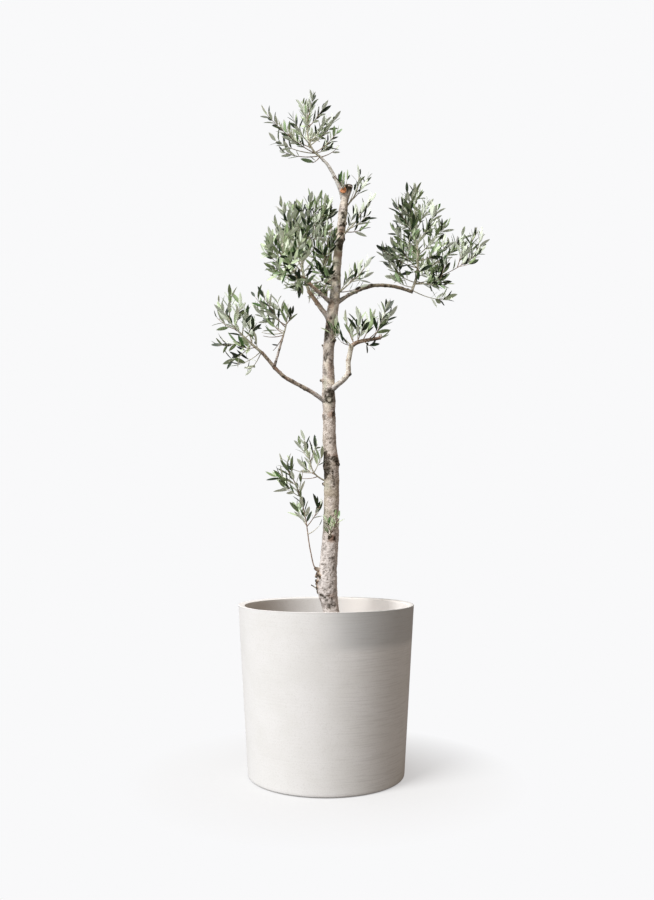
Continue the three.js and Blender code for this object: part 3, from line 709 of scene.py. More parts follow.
def bark_finish(name, pale, grey, crease):
    """Smooth olive bark: pale and grey patches, flecks, and the creases and films that its mesh keeps."""
    made, tree, shader = finish(name, roughness=0.86, ior=1.48)
    place = add(tree, "TexCoord").outputs["Object"]
    patches = add(tree, "TexNoise", {"Vector": place, "Scale": 1 / (BARK_PATCH * MM), "Detail": 5})
    patchy = add(tree, "MapRange", {"Value": patches.outputs["Fac"], "From Min": 0.4, "From Max": 0.6})
    flat = add(tree, "Mapping", {"Vector": place, "Scale": (1, 1, BARK_MARK_FLAT)})
    marks = add(
        tree, "TexNoise", {"Vector": flat.outputs["Vector"], "Scale": 1 / (BARK_MARK * MM), "Detail": 4}
    ).outputs["Fac"]
    flecked = add(tree, "MapRange", {"Value": marks, "From Min": 0.53, "From Max": 0.65, "To Max": 0.85})
    bare = add(tree, "MapRange", {"Value": marks, "From Min": 0.43, "From Max": 0.33, "To Max": 0.5})
    kept = {name: add(tree, "Attribute", attribute_name=name).outputs["Fac"] for name in BARK_KEPT}
    films = [
        (patchy.outputs["Result"], grey),
        (kept["ashy_and_painted_light"], BARK_ASHY_AND_PAINTED_LIGHT),
        (bare.outputs["Result"], BARK_FLECK),
        (flecked.outputs["Result"], crease),
        (kept["hollow"], crease),
    ]
    films += [(kept[film], colour) for film, colour in BARK_FILMS.items()]
    lay_films(tree, shader, linear(pale), films)
    pores = add(tree, "TexNoise", {"Vector": place, "Scale": 1 / (BARK_PORE * MM), "Detail": 3})
    bump = add(tree, "Bump", {"Height": pores.outputs["Fac"], "Distance": PORE_DEPTH * MM, "Strength": 0.8})
    tree.links.new(bump.outputs["Normal"], shader.inputs["Normal"])
    return made


def clipped(value):
    """A value kept between 0 and 1."""
    return max(0.0, min(1.0, value))


def bump_at(distance, size):
    """One at a spot's middle, easing to nothing at about twice its size."""
    return math.exp(-((distance / size) ** 2))


def wave(point, span):
    """Smooth noise from about -1 to 1, with its waves about a span apart."""
    return noise.fractal(Vector(point) / span, 1, 2, 3)


def round_by(turn, other, radius):
    """The way round the bark from one turn to another, in millimetres."""
    return math.radians((turn - other + 180) % 360 - 180) * radius


# Olive bark is thin, pale and smooth to the touch for its first years, and darkens in its creases.
trunk_bark = bark_finish("old_olive_bark", BARK_PALE, BARK_GREY, BARK_CREASE)

ring_count = round((TRUNK[-1][0] + TRUNK_FOOT_SUNK) / TRUNK_RING_EVERY)
vertices = []
kept = {name: [] for name in BARK_KEPT}
for height in np.linspace(-TRUNK_FOOT_SUNK, TRUNK[-1][0], ring_count + 1):
    middle = trunk_at(height)
    middle[2] = GROUND + height
    radius = trunk_radius(height)
    rough = np.interp(height, *zip(*ROUGH))
    aged = np.interp(height, *zip(*AGED))
    # How much is ashy at this height, partly as painted light.
    ashy_and_painted_light = np.interp(height, *zip(*ASHY_AND_PAINTED_LIGHT))
    knots = [knot for knot in KNOTS if abs(height - knot[0]) < 3 * knot[2]]
    scars = [scar for scar in SCARS if abs(height - scar[0]) < 2 * scar[2]]
    marks = [(film, row) for film, rows in MARKS.items() for row in rows]
    marks = [(film, row) for film, row in marks if abs(height - row[0]) < 2.5 * row[3]]
    for side in range(TRUNK_SIDES):
        turn = 360 * side / TRUNK_SIDES
        out = heading(turn, 0)
        point = middle + out * radius
        lump = wave(point, LUMP_SPAN)
        wrinkle = wave(point / (WRINKLE_SPAN, WRINKLE_SPAN, WRINKLE_RISE), 1)
        crack = noise.noise(Vector(point / (CRACK_SPAN, CRACK_SPAN, CRACK_RISE)))
        cracked = clipped(0.2 + 2 * noise.noise(Vector(point) / CRACK_PATCH))
        cracked *= clipped(1 - abs(crack) / CRACK_WIDTH)
        # Flutes run up the trunk, three and two round it, and turn slowly as they climb.
        flute = math.cos(math.radians(3 * turn + 0.35 * height))
        flute += math.cos(math.radians(2 * turn - 0.2 * height))
        reach = radius * (1 + FLUTE_DEPTH * flute) + rough * LUMP_DEPTH * lump
        reach += rough * WRINKLE_DEPTH * wrinkle - CRACK_DEPTH * cracked
        # Aged bark shows on the lumps, and the hollows between them are dark.
        film = {name: 0.0 for name in BARK_FILMS}
        film["aged"] = aged * clipped(0.65 + 1.5 * lump)
        film["dark"] = 0.5 * clipped(-1.6 * lump - 0.5) * rough
        for knot_height, knot_turn, size in knots:
            away = math.hypot(height - knot_height, round_by(turn, knot_turn, radius))
            reach += KNOT_SWELL * size * bump_at(away, size)
            reach -= KNOT_PIT * size * bump_at(away, KNOT_PIT_SIZE * size)
            film["rust"] += 0.5 * bump_at(away, 0.9 * size)
            film["dark"] += 0.9 * bump_at(away, 0.45 * size)
        for name, (mark_height, mark_turn, wide, tall, strength) in marks:
            away = math.hypot((height - mark_height) / tall, round_by(turn, mark_turn, radius) / wide)
            ragged = MARK_RAGGED * (lump + wrinkle)
            film[name] += strength * clipped(MARK_FULL - MARK_FADE * (away + ragged))
        # A scar is clear inside, and its rim is dark and raised.
        for scar_height, scar_turn, size in scars:
            away = math.hypot(height - scar_height, round_by(turn, scar_turn, radius))
            film["dark"] *= 1 - bump_at(away, 0.8 * size)
            film["dark"] += 1.2 * bump_at(away - size, 0.28 * size)
            reach += 0.14 * size * bump_at(away - size, 0.4 * size)
        vertices.append(middle + out * reach)
        kept["ashy_and_painted_light"].append(ashy_and_painted_light)
        kept["hollow"].append(clipped(0.9 * cracked + rough * (-0.8 * wrinkle - 0.28)))
        film["dark"] = min(1, 1.15 * film["dark"]) * (0.95 - 0.4 * wrinkle)
        for name, share in film.items():
            kept[name].append(clipped(share))
trunk = object_from("trunk_bark", vertices, ring_faces(ring_count + 1, TRUNK_SIDES), [trunk_bark], crease=80)
for name, values in kept.items():
    keep_values(trunk, name, values)
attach(trunk, "root")
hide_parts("trunk")

# Pruning cuts: the trunk's sawn top, gone dark and lumpy, below it the fresh orange cut of a side shoot, and
# the old red-brown cut at the end of the low right bough's stub. Each disc of end grain stands on a stub.
# place: [sideways, backwards, height above the soil]. lumps: how far the disc's face rises and falls.
CUTS = {
    "trunk_top_cut": {
        "on": "trunk",
        "wood": "weathered",
        "place": [53, 2, 1073],
        "turn": 0,
        "rise": 90,
        "size": 10.4,
        "stub": 4,
        "lumps": 2.6,
    },
    "fresh_cut": {
        "on": "trunk",
        "wood": "fresh",
        "place": [41.5, -12.5, 1057.5],
        "turn": 254,
        "rise": 10,
        "size": 7.8,
        "stub": 12,
        "lumps": 0.9,
    },
    "stub_cut": {
        "on": "leaves_low_right",
        "wood": "old",
        "place": [131, -31, 702.4],
        "turn": 5,
        "rise": 12,
        "size": 5,
        "stub": 5,
        "lumps": 1.6,
    },
}
CUT_RINGS = 7
CUT_SIDES = 36
CUT_LIP = 1.2
CUT_LUMP_SPAN = 5
CUT_WOODS = {
    "fresh": (0xB9622E, 0xE2A878),
    "weathered": (0x35281F, 0x7A5F4B),
    "old": (0x55301F, 0x9A6A50),
}
END_GRAIN = 2
END_GRAIN_DEPTH = 0.6


def cut_finish(name, heart, rim):
    """End grain of olive wood: rings about a millimetre apart, drawn two apart so that they show."""
    made, tree, shader = finish(name, roughness=0.75)
    place = add(tree, "TexCoord").outputs["Object"]
    grain = add(tree, "TexNoise", {"Vector": place, "Scale": 1 / (END_GRAIN * MM), "Detail": 3})
    lay_films(tree, shader, linear(heart), [(grain.outputs["Fac"], rim)])
    bump = add(tree, "Bump", {"Height": grain.outputs["Fac"], "Distance": END_GRAIN_DEPTH * MM})
    tree.links.new(bump.outputs["Normal"], shader.inputs["Normal"])
    return made


cut_woods = {
    wood: cut_finish(wood + "_olive_end_grain", heart, rim) for wood, (heart, rim) in CUT_WOODS.items()
}
for name, cut in CUTS.items():
    out = heading(cut["turn"], cut["rise"])
    across = np.cross(out, (0.3, 1, 0.2))
    across /= np.linalg.norm(across)
    beside = np.cross(out, across)
    # The rings run from the rim to the middle.
    middle = np.array(cut["place"]) + np.array([0, 0, GROUND])
    vertices = []
    for ring in range(CUT_RINGS):
        share = 1 - ring / CUT_RINGS
        for side in range(CUT_SIDES):
            turn = 2 * math.pi * side / CUT_SIDES
            # The stub is a little out of round, and the saw left a low lip just inside its edge.
            uneven = 1 + 0.08 * math.sin(3 * turn + 1) + 0.05 * math.sin(7 * turn)
            way = across * math.cos(turn) + beside * math.sin(turn)
            point = middle + way * cut["size"] * share * uneven
            lift = cut["lumps"] * noise.fractal(Vector(point) / CUT_LUMP_SPAN, 1, 2, 2)
            lip = CUT_LIP * math.sin(math.pi * min(1, 2.2 * (1 - share)))
            vertices.append(point + out * (lift + lip))
    wall_foot = [point - out * cut["stub"] for point in vertices[:CUT_SIDES]]
    materials = [cut_woods[cut["wood"]], trunk_bark]
    made = object_from(
        name, wall_foot + vertices, ring_faces(CUT_RINGS + 1, CUT_SIDES), materials, crease=60
    )
    for face in made.data.polygons[:CUT_SIDES]:
        face.material_index = materials.index(trunk_bark)
    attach(made, "root")
    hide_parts(cut["on"])

# Boughs: younger wood that grew from the trunk with a swollen collar, smoother than the trunk and each of
# its own tint. Each tapers to where its leafy stem goes on.
# A bough starts at a height above the soil, or at a share of its parent, and runs in legs of [turn, rise,
# length]. radius: at its foot and its tip. knots: [share, turn, rise, size, how far it stands out].
BOUGHS = {
    "bough_low_left": {
        "height": 547,
        "legs": [[201, 30, 57], [200, 26, 75], [199, 45, 72]],
        "radius": [5.2, 4],
        "tint": "brown",
        "knots": [
            [0.64, 262, -40, 4, 0.5], [0.5, 262, 35, 4, 0.45], [0.55, 268, -5, 3, 0.35],
            [0.79, 265, 20, 3, 0.35], [0.93, 265, 40, 3, 0.35],
        ],
    },
    "spur_low_left": {
        "parent": "bough_low_left",
        "share": 0.78,
        "legs": [[8, 74, 78]],
        "radius": [2.8, 2.3],
        "tint": "brown",
    },
    "bough_low_right": {
        "height": 576,
        "legs": [[-34, 33, 64], [-40, 84, 31], [-16, 79, 40]],
        "radius": [5.8, 5.8],
        "tint": "cream",
        "knots": [[0.5, -14, -22, 4.6, 0.65], [0.72, 190, 10, 2.6, 0.4]],
    },
    "bough_right": {
        "height": 784,
        "legs": [[14, 36, 50], [16, 25, 60], [9, 2, 55], [7, -14, 52]],
        "radius": [4.6, 3.8],
        "tint": "olive",
        "knots": [
            [0.44, 60, 40, 14, 0.1], [0.38, 280, -50, 3.4, 0.45], [0.67, 280, -40, 4, 0.5],
            [0.52, 266, 40, 4, 0.35], [0.74, 268, 5, 3.4, 0.35], [0.88, 262, 30, 3.4, 0.4],
        ],
    },
    "bough_left_front": {
        "height": 786,
        "legs": [[205, 34, 52], [200, 38, 46]],
        "radius": [4.8, 3.5],
        "tint": "tan",
    },
    "bough_left_rear": {
        "height": 746,
        "legs": [[146, 50, 52], [157, 54, 52]],
        "radius": [6.4, 4.6],
        "tint": "tan",
    },
    "bough_top": {
        "height": 1036,
        "legs": [[196, 68, 50], [195, 58, 46], [187, 46, 24]],
        "radius": [5.4, 3.2],
        "tint": "silvery",
    },
}
BOUGH_SIDES = 28
BOUGH_RING_EVERY = 1.6
BOUGH_LUMP_DEPTH = 0.11
BOUGH_LUMP_SPAN = 15
BOUGH_WRINKLE_DEPTH = 0.28
BOUGH_WRINKLE_SPAN = 3.4
BOUGH_KNOB_EVERY = 19
BOUGH_KNOB_SIZE = 3.4
BOUGH_KNOB_HEIGHT = 0.3
BOUGH_KNOB_HEIGHTS = (0.4, 1.2)
BOUGH_KNOB_PLACES = (0.3, 0.9)
BOUGH_KNOB_TURN = 137
BOUGH_KNOB_TURN_VARIES = 60
COLLAR_SWELL = 0.25
COLLAR_LENGTH = 11
# The collar's ashy film is partly painted light on the shaded foot of the bough.
COLLAR_ASHY_AND_PAINTED_LIGHT = 0.8
COLLAR_ASHY_AND_PAINTED_LIGHT_REACH = 45
COLLAR_DARK = 0.2
COLLAR_DARK_REACH = 9
BOUGH_FILM_SPAN = 9
FILMS_APART = (63, 27, 9)
BOUGH_TINTS = {
    "brown": (0xC6B6A6, 0xA09080, 0x63564A),
    "cream": (0xF4EFE2, 0xE0DACB, 0xB0A48E),
    "olive": (0xA79D89, 0x827A69, 0x564F41),
    "silvery": (0xF4F3F0, 0xE2DFD9, 0xB0A998),
    "tan": (0xC9A98A, 0xA08263, 0x5A4636),
}


def tube(line, radius_at, sides, every):
    """Rings of points square to a line and not twisted round it, the way out at each, and their number."""
    count = max(2, round(line.length / every))
    points = []
    outward = []
    across = None
    for share in np.linspace(0, 1, count + 1):
        way = line.way(share)
        if across is None:
            across = np.cross(way, (0, 0, 1) if abs(way[2]) < 0.9 else (0, 1, 0))
        across = across - way * np.dot(across, way)
        across /= np.linalg.norm(across)
        beside = np.cross(way, across)
        for side in range(sides):
            turn = 2 * math.pi * side / sides
            out = across * math.cos(turn) + beside * math.sin(turn)
            points.append(line.at(share) + out * radius_at(share))
            outward.append(out)
    return np.array(points), np.array(outward), count + 1


def side_way(way, turn):
    """A direction square to a way, level at a turn of 0 and turned round the way by it, in degrees."""
    level = np.cross(way, (0, 0, 1))
    level /= np.linalg.norm(level)
    upright = np.cross(way, level)
    return level * math.cos(math.radians(turn)) + upright * math.sin(math.radians(turn))


young_barks = {
    tint: bark_finish(f"young_olive_bark_{tint}", pale, grey, crease)
    for tint, (pale, grey, crease) in BOUGH_TINTS.items()
}
bough_lines = {}
draw = series(17)
for name, bough in BOUGHS.items():
    parent = bough.get("parent")
    start = bough_lines[parent].at(bough["share"]) if parent else trunk_at(bough["height"])
    line = line_from(start, bough["legs"])
    bough_lines[name] = line
    foot = bough["radius"][0]
    hidden = BOUGHS[parent]["radius"][1] if parent else trunk_radius(bough["height"])

    def bough_radius(share):
        past_skin = max(0, share * line.length - hidden)
        return between(bough["radius"], share) * (1 + COLLAR_SWELL * math.exp(-past_skin / COLLAR_LENGTH))

    def knob_at(middle, size):
        return np.exp(-((points - middle) ** 2).sum(axis=1) / size**2)

    points, outward, rings = tube(line, bough_radius, BOUGH_SIDES, BOUGH_RING_EVERY)
    lumps = np.array([wave(point, BOUGH_LUMP_SPAN) for point in points])
    wrinkles = np.array([wave(point, BOUGH_WRINKLE_SPAN) for point in points])
    points += outward * (BOUGH_LUMP_DEPTH * foot * lumps + BOUGH_WRINKLE_DEPTH * wrinkles)[:, None]
    knobs = np.zeros(len(points))
    for number in range(round(line.length / BOUGH_KNOB_EVERY)):
        share = (number + between(BOUGH_KNOB_PLACES, draw())) * BOUGH_KNOB_EVERY / line.length
        turn = BOUGH_KNOB_TURN * number + BOUGH_KNOB_TURN_VARIES * draw()
        knob = line.at(min(share, 1)) + side_way(line.way(min(share, 1)), turn) * bough_radius(share)
        knobs += between(BOUGH_KNOB_HEIGHTS, draw()) * knob_at(knob, BOUGH_KNOB_SIZE)
    for share, turn, rise, size, high in bough.get("knots", []):
        knob = line.at(share) + heading(turn, rise) * bough_radius(share)
        knobs += high * size / (BOUGH_KNOB_HEIGHT * foot) * knob_at(knob, size)
    points += outward * (BOUGH_KNOB_HEIGHT * foot * knobs)[:, None]
    made = object_from(
        name + "_bark", points, ring_faces(rings, BOUGH_SIDES), [young_barks[bough["tint"]]], crease=80
    )
    # The bark is ashy and dark at the collar, dark on lumps and knobs, and aged or rusty in blotches. The
    # ashy film at the collar is partly painted light, which lifts the shaded foot of the bough.
    past_skin = np.linalg.norm(points - start, axis=1) - hidden
    blotches = np.array([wave(point + FILMS_APART, BOUGH_FILM_SPAN) for point in points])
    dark = COLLAR_DARK * np.exp(-((past_skin / COLLAR_DARK_REACH) ** 2))
    dark += 1.6 * np.clip(lumps - 0.3, 0, 1) + 1.1 * np.clip(knobs - 0.35, 0, 1)
    keep_values(made, "ashy_and_painted_light", COLLAR_ASHY_AND_PAINTED_LIGHT * np.exp(-((past_skin / COLLAR_ASHY_AND_PAINTED_LIGHT_REACH) ** 2)))
    keep_values(made, "hollow", np.clip(-1.1 * wrinkles - 0.15, 0, 1))
    keep_values(made, "aged", np.clip(1.2 * blotches, 0, 0.7))
    keep_values(made, "rust", np.clip(-1.4 * blotches - 0.2, 0, 0.6))
    keep_values(made, "dark", np.clip(dark, 0, 0.9))
    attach(made, "root")
    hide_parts(name)

# Burl and spurs: buds that were rubbed off again and again left a red-brown burl of dark-ended knobs on the
# left of the foot, with a dead twig, and a few short spurs higher up. They are old bark like the trunk's.
# [height above the soil, turn, rise, length from the bark, radius, how dark the end is].
SPURS = [
    [145, 186, 20, 14, 4.6, 1],
    [137, 200, 4, 9, 4.8, 0.8],
    [130, 184, 8, 9, 4.6, 0.3],
    [121, 194, -4, 8, 4.6, 1],
    [112, 186, 10, 6, 4.4, 0.6],
    [104, 196, -6, 5, 5, 1],
    [131, 214, 4, 4, 5, 0.6],
    [95, 188, 0, 3, 5.4, 0.3],
    [97, 184, 34, 20, 1.3, 1],
    [352, 196, 16, 6, 3.4, 1],
    [400, -22, 6, 3, 4.4, 1],
    [602, 182, 8, 7, 3, 1],
    [685, 181, 24, 5, 2.6, 0.4],
    [699, -8, 10, 3.5, 3.8, 1],
    [943, -22, 14, 3.5, 4.6, 1],
    [983, -12, 0, 2.5, 3.6, 1],
    [640, 62, 20, 8, 3.2, 1],
    [300, 110, 24, 6, 3.6, 0.8],
]
SPUR_SIDES = 16
SPUR_RING_EVERY = 1
SPUR_SUNK = 4
SPUR_FOOT = 1.3
SPUR_TAPER = 0.35
SPUR_END_ROUND = 0.45
SPUR_LUMP_DEPTH = 0.4
SPUR_LUMP_SPAN = 5
BURL_TOP = 160
THIN_SPUR = 2

for number, (height, turn, rise, length, size, end_dark) in enumerate(SPURS):
    start = trunk_at(height) + heading(turn, 0) * (trunk_radius(height) - SPUR_SUNK)
    line = line_from(start, [[turn, rise, length + SPUR_SUNK]])
    rounding = SPUR_END_ROUND if size > THIN_SPUR else 0

    def spur_radius(share):
        return size * (SPUR_FOOT - SPUR_TAPER * share - rounding * share**8)

    points, outward, rings = tube(line, spur_radius, SPUR_SIDES, SPUR_RING_EVERY)
    lumps = np.array([wave(point, SPUR_LUMP_SPAN) for point in points])
    points += outward * (SPUR_LUMP_DEPTH * size * lumps)[:, None]
    along = np.repeat(np.linspace(0, 1, rings), SPUR_SIDES)
    made = object_from(f"spur_{number}", points, ring_faces(rings, SPUR_SIDES), [trunk_bark], crease=60)
    in_burl = height < BURL_TOP and size > THIN_SPUR
    # The last quarter of a spur is dark, and so are the hollows in its bark.
    dark = end_dark * (4 * along - 2.7) + np.clip(-1.6 * lumps + 0.1, 0, 1)
    keep_values(made, "rust", np.clip(0.2 + lumps, 0, 1) * in_burl)
    keep_values(made, "aged", np.full(len(points), 0.5))
    keep_values(made, "dark", np.clip(dark, 0, 1))
    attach(made, "root")
    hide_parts("trunk")

# Leafy masses: a silvery young stem goes on from each bough, or straight from the trunk. Twigs leave it,
# droop a little and turn up, side shoots leave the twigs, and narrow leaves stand on all of them in opposite
# pairs, each pair a quarter turn from the last. A mass keeps to the space of its lobes.
# A stem starts at its bough's end, or in the trunk at a height above the soil. legs: [turn, rise, length].
# lobes: [sideways, backwards, height above the soil, half width, half depth, half height].
# twigs: [share of the stem, turn, rise, length, and the twig's bare share if it isn't the usual one].
# fill: how many more twigs are set by the golden angle. side_twigs: twigs that come after those.
# sprigs: [the twig that carries it, counted from 0, share of that twig, turn, rise, length].
# brown: the share of twigs that are brown. paler: how much is added to the tone of the leaves, 0 to 1.
# leaf_gap, stem_foot, stem_tip and stem_bare stand where they aren't the usual ones, and leaf_size is a
# factor. A seed sets the mass's own draws. The ends of the twigs, and the sprays' stems, were picked by eye
# in the photograph, and a separate script worked out their rows from their places there.
MASSES = {
    "leaves_top": {
        "bough": "bough_top",
        "legs": [[186, 40, 24], [170, 68, 36], [160, 88, 74]],
        "side_shoots": False,
        "brown": 0.55,
        "leaf_gap": 9,
        "leaf_size": 0.92,
        "paler": -0.06,
        "lobes": [[-56, -10, 1203, 108, 90, 98], [-142, -38, 1238, 42, 46, 56]],
        "twigs": [
            [0.1, 193, 34, 146], [0.3, 231, 32, 74], [0.5, 115, 72, 91], [0.75, -47, 66, 51],
            [0.62, -40, 31, 55], [0.3, 15, 49, 97], [0.14, -33, 26, 66], [0.02, 17, 30, 43, 0.5],
            [0.12, 188, 14, 99, 0.5], [0.05, 169, 10, 85, 0.45], [0.25, 152, 39, 103],
            [0.4, 48, 37, 77], [0.03, 238, -39, 44, 0.3],
        ],
        "side_twigs": [[0.35, 0, 52, 60, 0.2], [0.12, 346, 22, 36, 0.1]],
        "fill": 1,
        "seed": 11,
    },
    "leaves_right": {
        "bough": "bough_right",
        "legs": [[12, 72, 44], [0, 88, 50], [200, 86, 52], [200, 86, 60]],
        "paler": -0.12,
        "lobes": [[222, 40, 955, 108, 95, 156], [366, 52, 946, 46, 44, 56], [284, 44, 830, 48, 42, 40]],
        "twigs": [
            [0.97, 82, 82, 54], [0.75, 41, 62, 85], [0.6, -11, 57, 89], [0.45, 30, 49, 121],
            [0.7, 201, 49, 80], [0.62, 128, 67, 115], [0.45, 147, 48, 94], [0.3, 193, 23, 97],
            [0.12, 160, 35, 74], [0.1, 4, 27, 185, 0.5], [0.24, 18, 37, 158, 0.45],
            [0.38, -29, 17, 77], [0.02, 5, -14, 90, 0.45], [0.1, -20, 6, 69], [0.3, 235, 18, 77],
            [0.2, 50, 30, 68], [0.5, 248, 29, 74], [0.06, 205, 9, 44],
        ],
        "sprigs": [
            [9, 0.62, 20, 74, 46], [9, 0.8, -20, 80, 56], [9, 0.93, 10, 78, 48], [10, 0.75, 30, 70, 40],
            [13, 0.45, 50, 62, 36], [13, 0.9, -30, 60, 34], [15, 0.6, 10, 50, 40], [8, 0.6, 230, 50, 36],
            [7, 0.5, 160, 40, 36], [14, 0.6, 200, 40, 34],
        ],
        "side_twigs": [[0.12, 350, -2, 45, 0.2], [0.14, 358, -6, 78, 0.35], [0.3, 280, -34, 30, 0.1]],
        "fill": 2,
        "seed": 23,
    },
    "leaves_left_front": {
        "bough": "bough_left_front",
        "legs": [[212, 24, 30], [206, 50, 36], [209, 74, 30]],
        "paler": 0.18,
        "lobes": [[-88, -54, 878, 80, 98, 110]],
        "twigs": [
            [0.4, 195, 24, 56], [0.65, 229, 34, 50], [0.9, 64, 79, 42], [0.15, 216, -6, 65],
            [0.05, 204, -36, 54], [0.25, -80, -32, 70], [0.7, -55, 3, 62], [0.1, -86, -51, 64],
            [0.5, -85, -13, 82], [0.8, 70, 40, 63],
        ],
        "side_twigs": [[0.15, -36, 65, 65, 0.3], [0.3, -20, 60, 50, 0.3]],
        "fill": 2,
        "seed": 37,
    },
    "leaves_left_rear": {
        "bough": "bough_left_rear",
        "legs": [[153, 72, 62], [0, 88, 60], [-25, 76, 54]],
        "lobes": [[-52, 25, 990, 98, 92, 96]],
        "twigs": [
            [0.97, 20, 66, 79], [0.8, -63, 69, 88], [0.75, 136, 67, 116], [0.6, 196, 64, 125],
            [0.4, 163, 57, 129], [0.3, 208, 46, 102], [0.65, 26, 58, 130], [0.45, -19, 49, 95],
            [0.3, 37, 55, 90], [0.55, 104, 59, 120], [0.5, -75, 43, 85], [0.85, -18, 45, 100],
            [0.7, 31, 40, 116],
        ],
        "side_twigs": [[0.5, 0, 62, 128, 0.35], [0.72, 356, 52, 112, 0.35]],
        "fill": 2,
        "seed": 41,
    },
    "leaves_left_inner": {
        "height": 838,
        "legs": [[140, 40, 48], [100, 62, 34]],
        "paler": 0.08,
        "lobes": [[-8, 4, 886, 70, 92, 112]],
        "twigs": [
            [0.35, 148, -3, 59], [0.7, 160, 34, 42], [0.95, 249, 35, 49], [0.6, 78, 53, 61],
            [0.25, 128, -12, 55], [0.55, 252, -5, 50], [0.9, -72, 24, 69], [0.4, -82, -11, 47],
            [0.1, 189, -54, 44], [0.8, 33, 85, 71], [0.2, 176, -34, 71], [0.3, -73, -45, 54],
        ],
        "side_twigs": [[0.75, -65, 42, 93, 0.5], [0.85, -76, 45, 108, 0.5], [0.8, 228, 32, 62, 0.3]],
        "fill": 1,
        "seed": 53,
    },
    "leaves_low_left": {
        "bough": "bough_low_left",
        "legs": [[196, 38, 38], [195, 42, 38], [190, 46, 30]],
        "side_shoots": False,
        "leaf_gap": 11,
        "leaf_size": 1.12,
        "lobes": [[-204, -65, 714, 76, 84, 116]],
        "twigs": [
            [0.98, 87, 83, 60], [0.9, 205, 56, 56], [0.75, 149, 31, 68], [0.8, 79, 59, 90],
            [0.45, 194, -14, 69], [0.3, 210, -39, 75], [0.05, 180, -32, 54, 0.4],
            [0.5, -55, 23, 60], [0.3, 111, 61, 68], [0.03, 148, -51, 44, 0.3], [0.6, -65, 50, 47],
            [0.2, 238, -8, 55],
        ],
        "side_twigs": [[0.3, 92, 81, 35, 0.1], [0.12, 118, 58, 40, 0.1]],
        "seed": 67,
    },
    "leaves_low_left_spur": {
        "bough": "spur_low_left",
        "legs": [[22, 74, 28], [30, 82, 24]],
        "side_shoots": False,
        "leaf_gap": 11,
        "leaf_size": 1.12,
        "lobes": [[-128, -35, 752, 76, 80, 92]],
        "twigs": [
            [0.55, 173, 43, 102], [0.45, 213, 47, 81], [0.7, 138, 60, 71], [0.95, -40, 85, 30],
            [0.6, -60, 28, 33], [0.25, 150, 38, 104, 0.4], [0.08, 211, -9, 54], [0.15, 145, 40, 51],
            [0.02, 145, -45, 43, 0.3],
        ],
        "side_twigs": [[0.2, 196, -3, 54, 0.3]],
        "seed": 71,
    },
    "leaves_low_right": {
        "bough": "bough_low_right",
        "legs": [[0, 34, 16], [5, 12, 58]],
        "side_shoots": False,
        "brown_stem": True,
        "stem_tip": 3.8,
        "stem_bare": 1,
        "leaf_size": 1.12,
        "lobes": [[94, -40, 730, 98, 80, 88]],
        "twigs": [
            [0.55, 0, 48, 103], [0.75, -48, 56, 76], [0.4, 41, 62, 68], [0.25, 268, 63, 52],
            [0.12, 139, 65, 60], [0.03, 199, 45, 58], [0.06, 225, 2, 40], [0.45, -63, -30, 38],
        ],
        "side_twigs": [[0.2, 310, 55, 36, 0.1], [0.1, 103, 60, 33, 0.1]],
        "seed": 83,
    },
    "spray_right": {
        "height": 946,
        "legs": [[-24, 41, 56], [-17, 54, 33], [-23, 47, 23]],
        "side_shoots": False,
        "leaf_gap": 12.5,
        "paler": -0.45,
        "lobes": [[85, -10, 1000, 56, 58, 84]],
        "twigs": [[0.2, 13, 14, 43], [0.3, -34, 22, 52], [0.15, -55, 44, 47], [0.45, 56, 57, 62]],
        "seed": 97,
    },
    "spray_upper_right": {
        "height": 1014,
        "legs": [[17, 54, 52], [28, 73, 29], [-42, 80, 17]],
        "side_shoots": False,
        "leaf_gap": 12.5,
        "paler": -0.45,
        "lobes": [[84, 2, 1078, 50, 56, 66]],
        "twigs": [[0.35, 21, 54, 70], [0.2, -65, 33, 40]],
        "seed": 101,
    },
    "spray_middle_right": {
        "height": 806,
        "legs": [[-21, 36, 49], [-14, 39, 31], [0, 55, 29]],
        "side_shoots": False,
        "leaf_gap": 12.5,
        "paler": -0.45,
        "lobes": [[78, -8, 856, 56, 56, 70]],
        "twigs": [[0.15, -17, 9, 51], [0.35, 46, 53, 61], [0.1, -46, 43, 50], [0.5, 34, 25, 47]],
        "seed": 103,
    },
    "shoot_top": {
        "height": 1046,
        "legs": [[254, 45, 31]],
        "side_shoots": False,
        "lobes": [[42, -18, 1086, 34, 36, 48]],
        "twigs": [[0.6, 239, 28, 21], [0.55, -24, 72, 25]],
        "seed": 107,
    },
    "sucker": {
        "height": 133,
        "legs": [
            [204, 25, 34], [204, 72, 47], [197, 81, 75], [190, 77, 54], [180, 69, 41],
            [187, 59, 33], [180, 59, 22],
        ],
        "stem_foot": 1.6,
        "brown_stem": True,
        "leaf_gap": 12,
        "leaf_size": 1.12,
        "lobes": [[-42, -22, 268, 58, 52, 76], [-90, -26, 378, 64, 54, 72]],
        "twigs": [
            [0.46, -13, 58, 74], [0.47, 163, 59, 48], [0.4, -6, 36, 33, 0.6], [0.74, 46, 74, 59],
            [0.8, 195, 31, 46], [0.76, 158, 19, 39], [0.7, 216, 28, 31], [0.85, 112, 70, 46],
        ],
        "seed": 109,
    },
    "spray_knot": {
        "height": 352,
        "legs": [[202, 31, 53], [200, 71, 40], [190, 74, 42]],
        "leaf_gap": 12,
        "leaf_size": 1.1,
        "lobes": [[-40, -12, 418, 54, 54, 80]],
        "twigs": [
            [0.3, 200, -5, 48], [0.4, -43, 58, 45], [0.65, 150, 51, 43], [0.6, -17, 71, 30],
            [0.35, 145, 33, 42],
        ],
        "side_twigs": [[0.4, 188, 10, 56, 0.3]],
        "seed": 113,
    },
    "trunk_tuft": {
        "height": 216,
        "legs": [[-87, 36, 41], [-81, 50, 22]],
        "side_shoots": False,
        "leaf_gap": 12,
        "leaf_size": 0.7,
        "paler": 0.4,
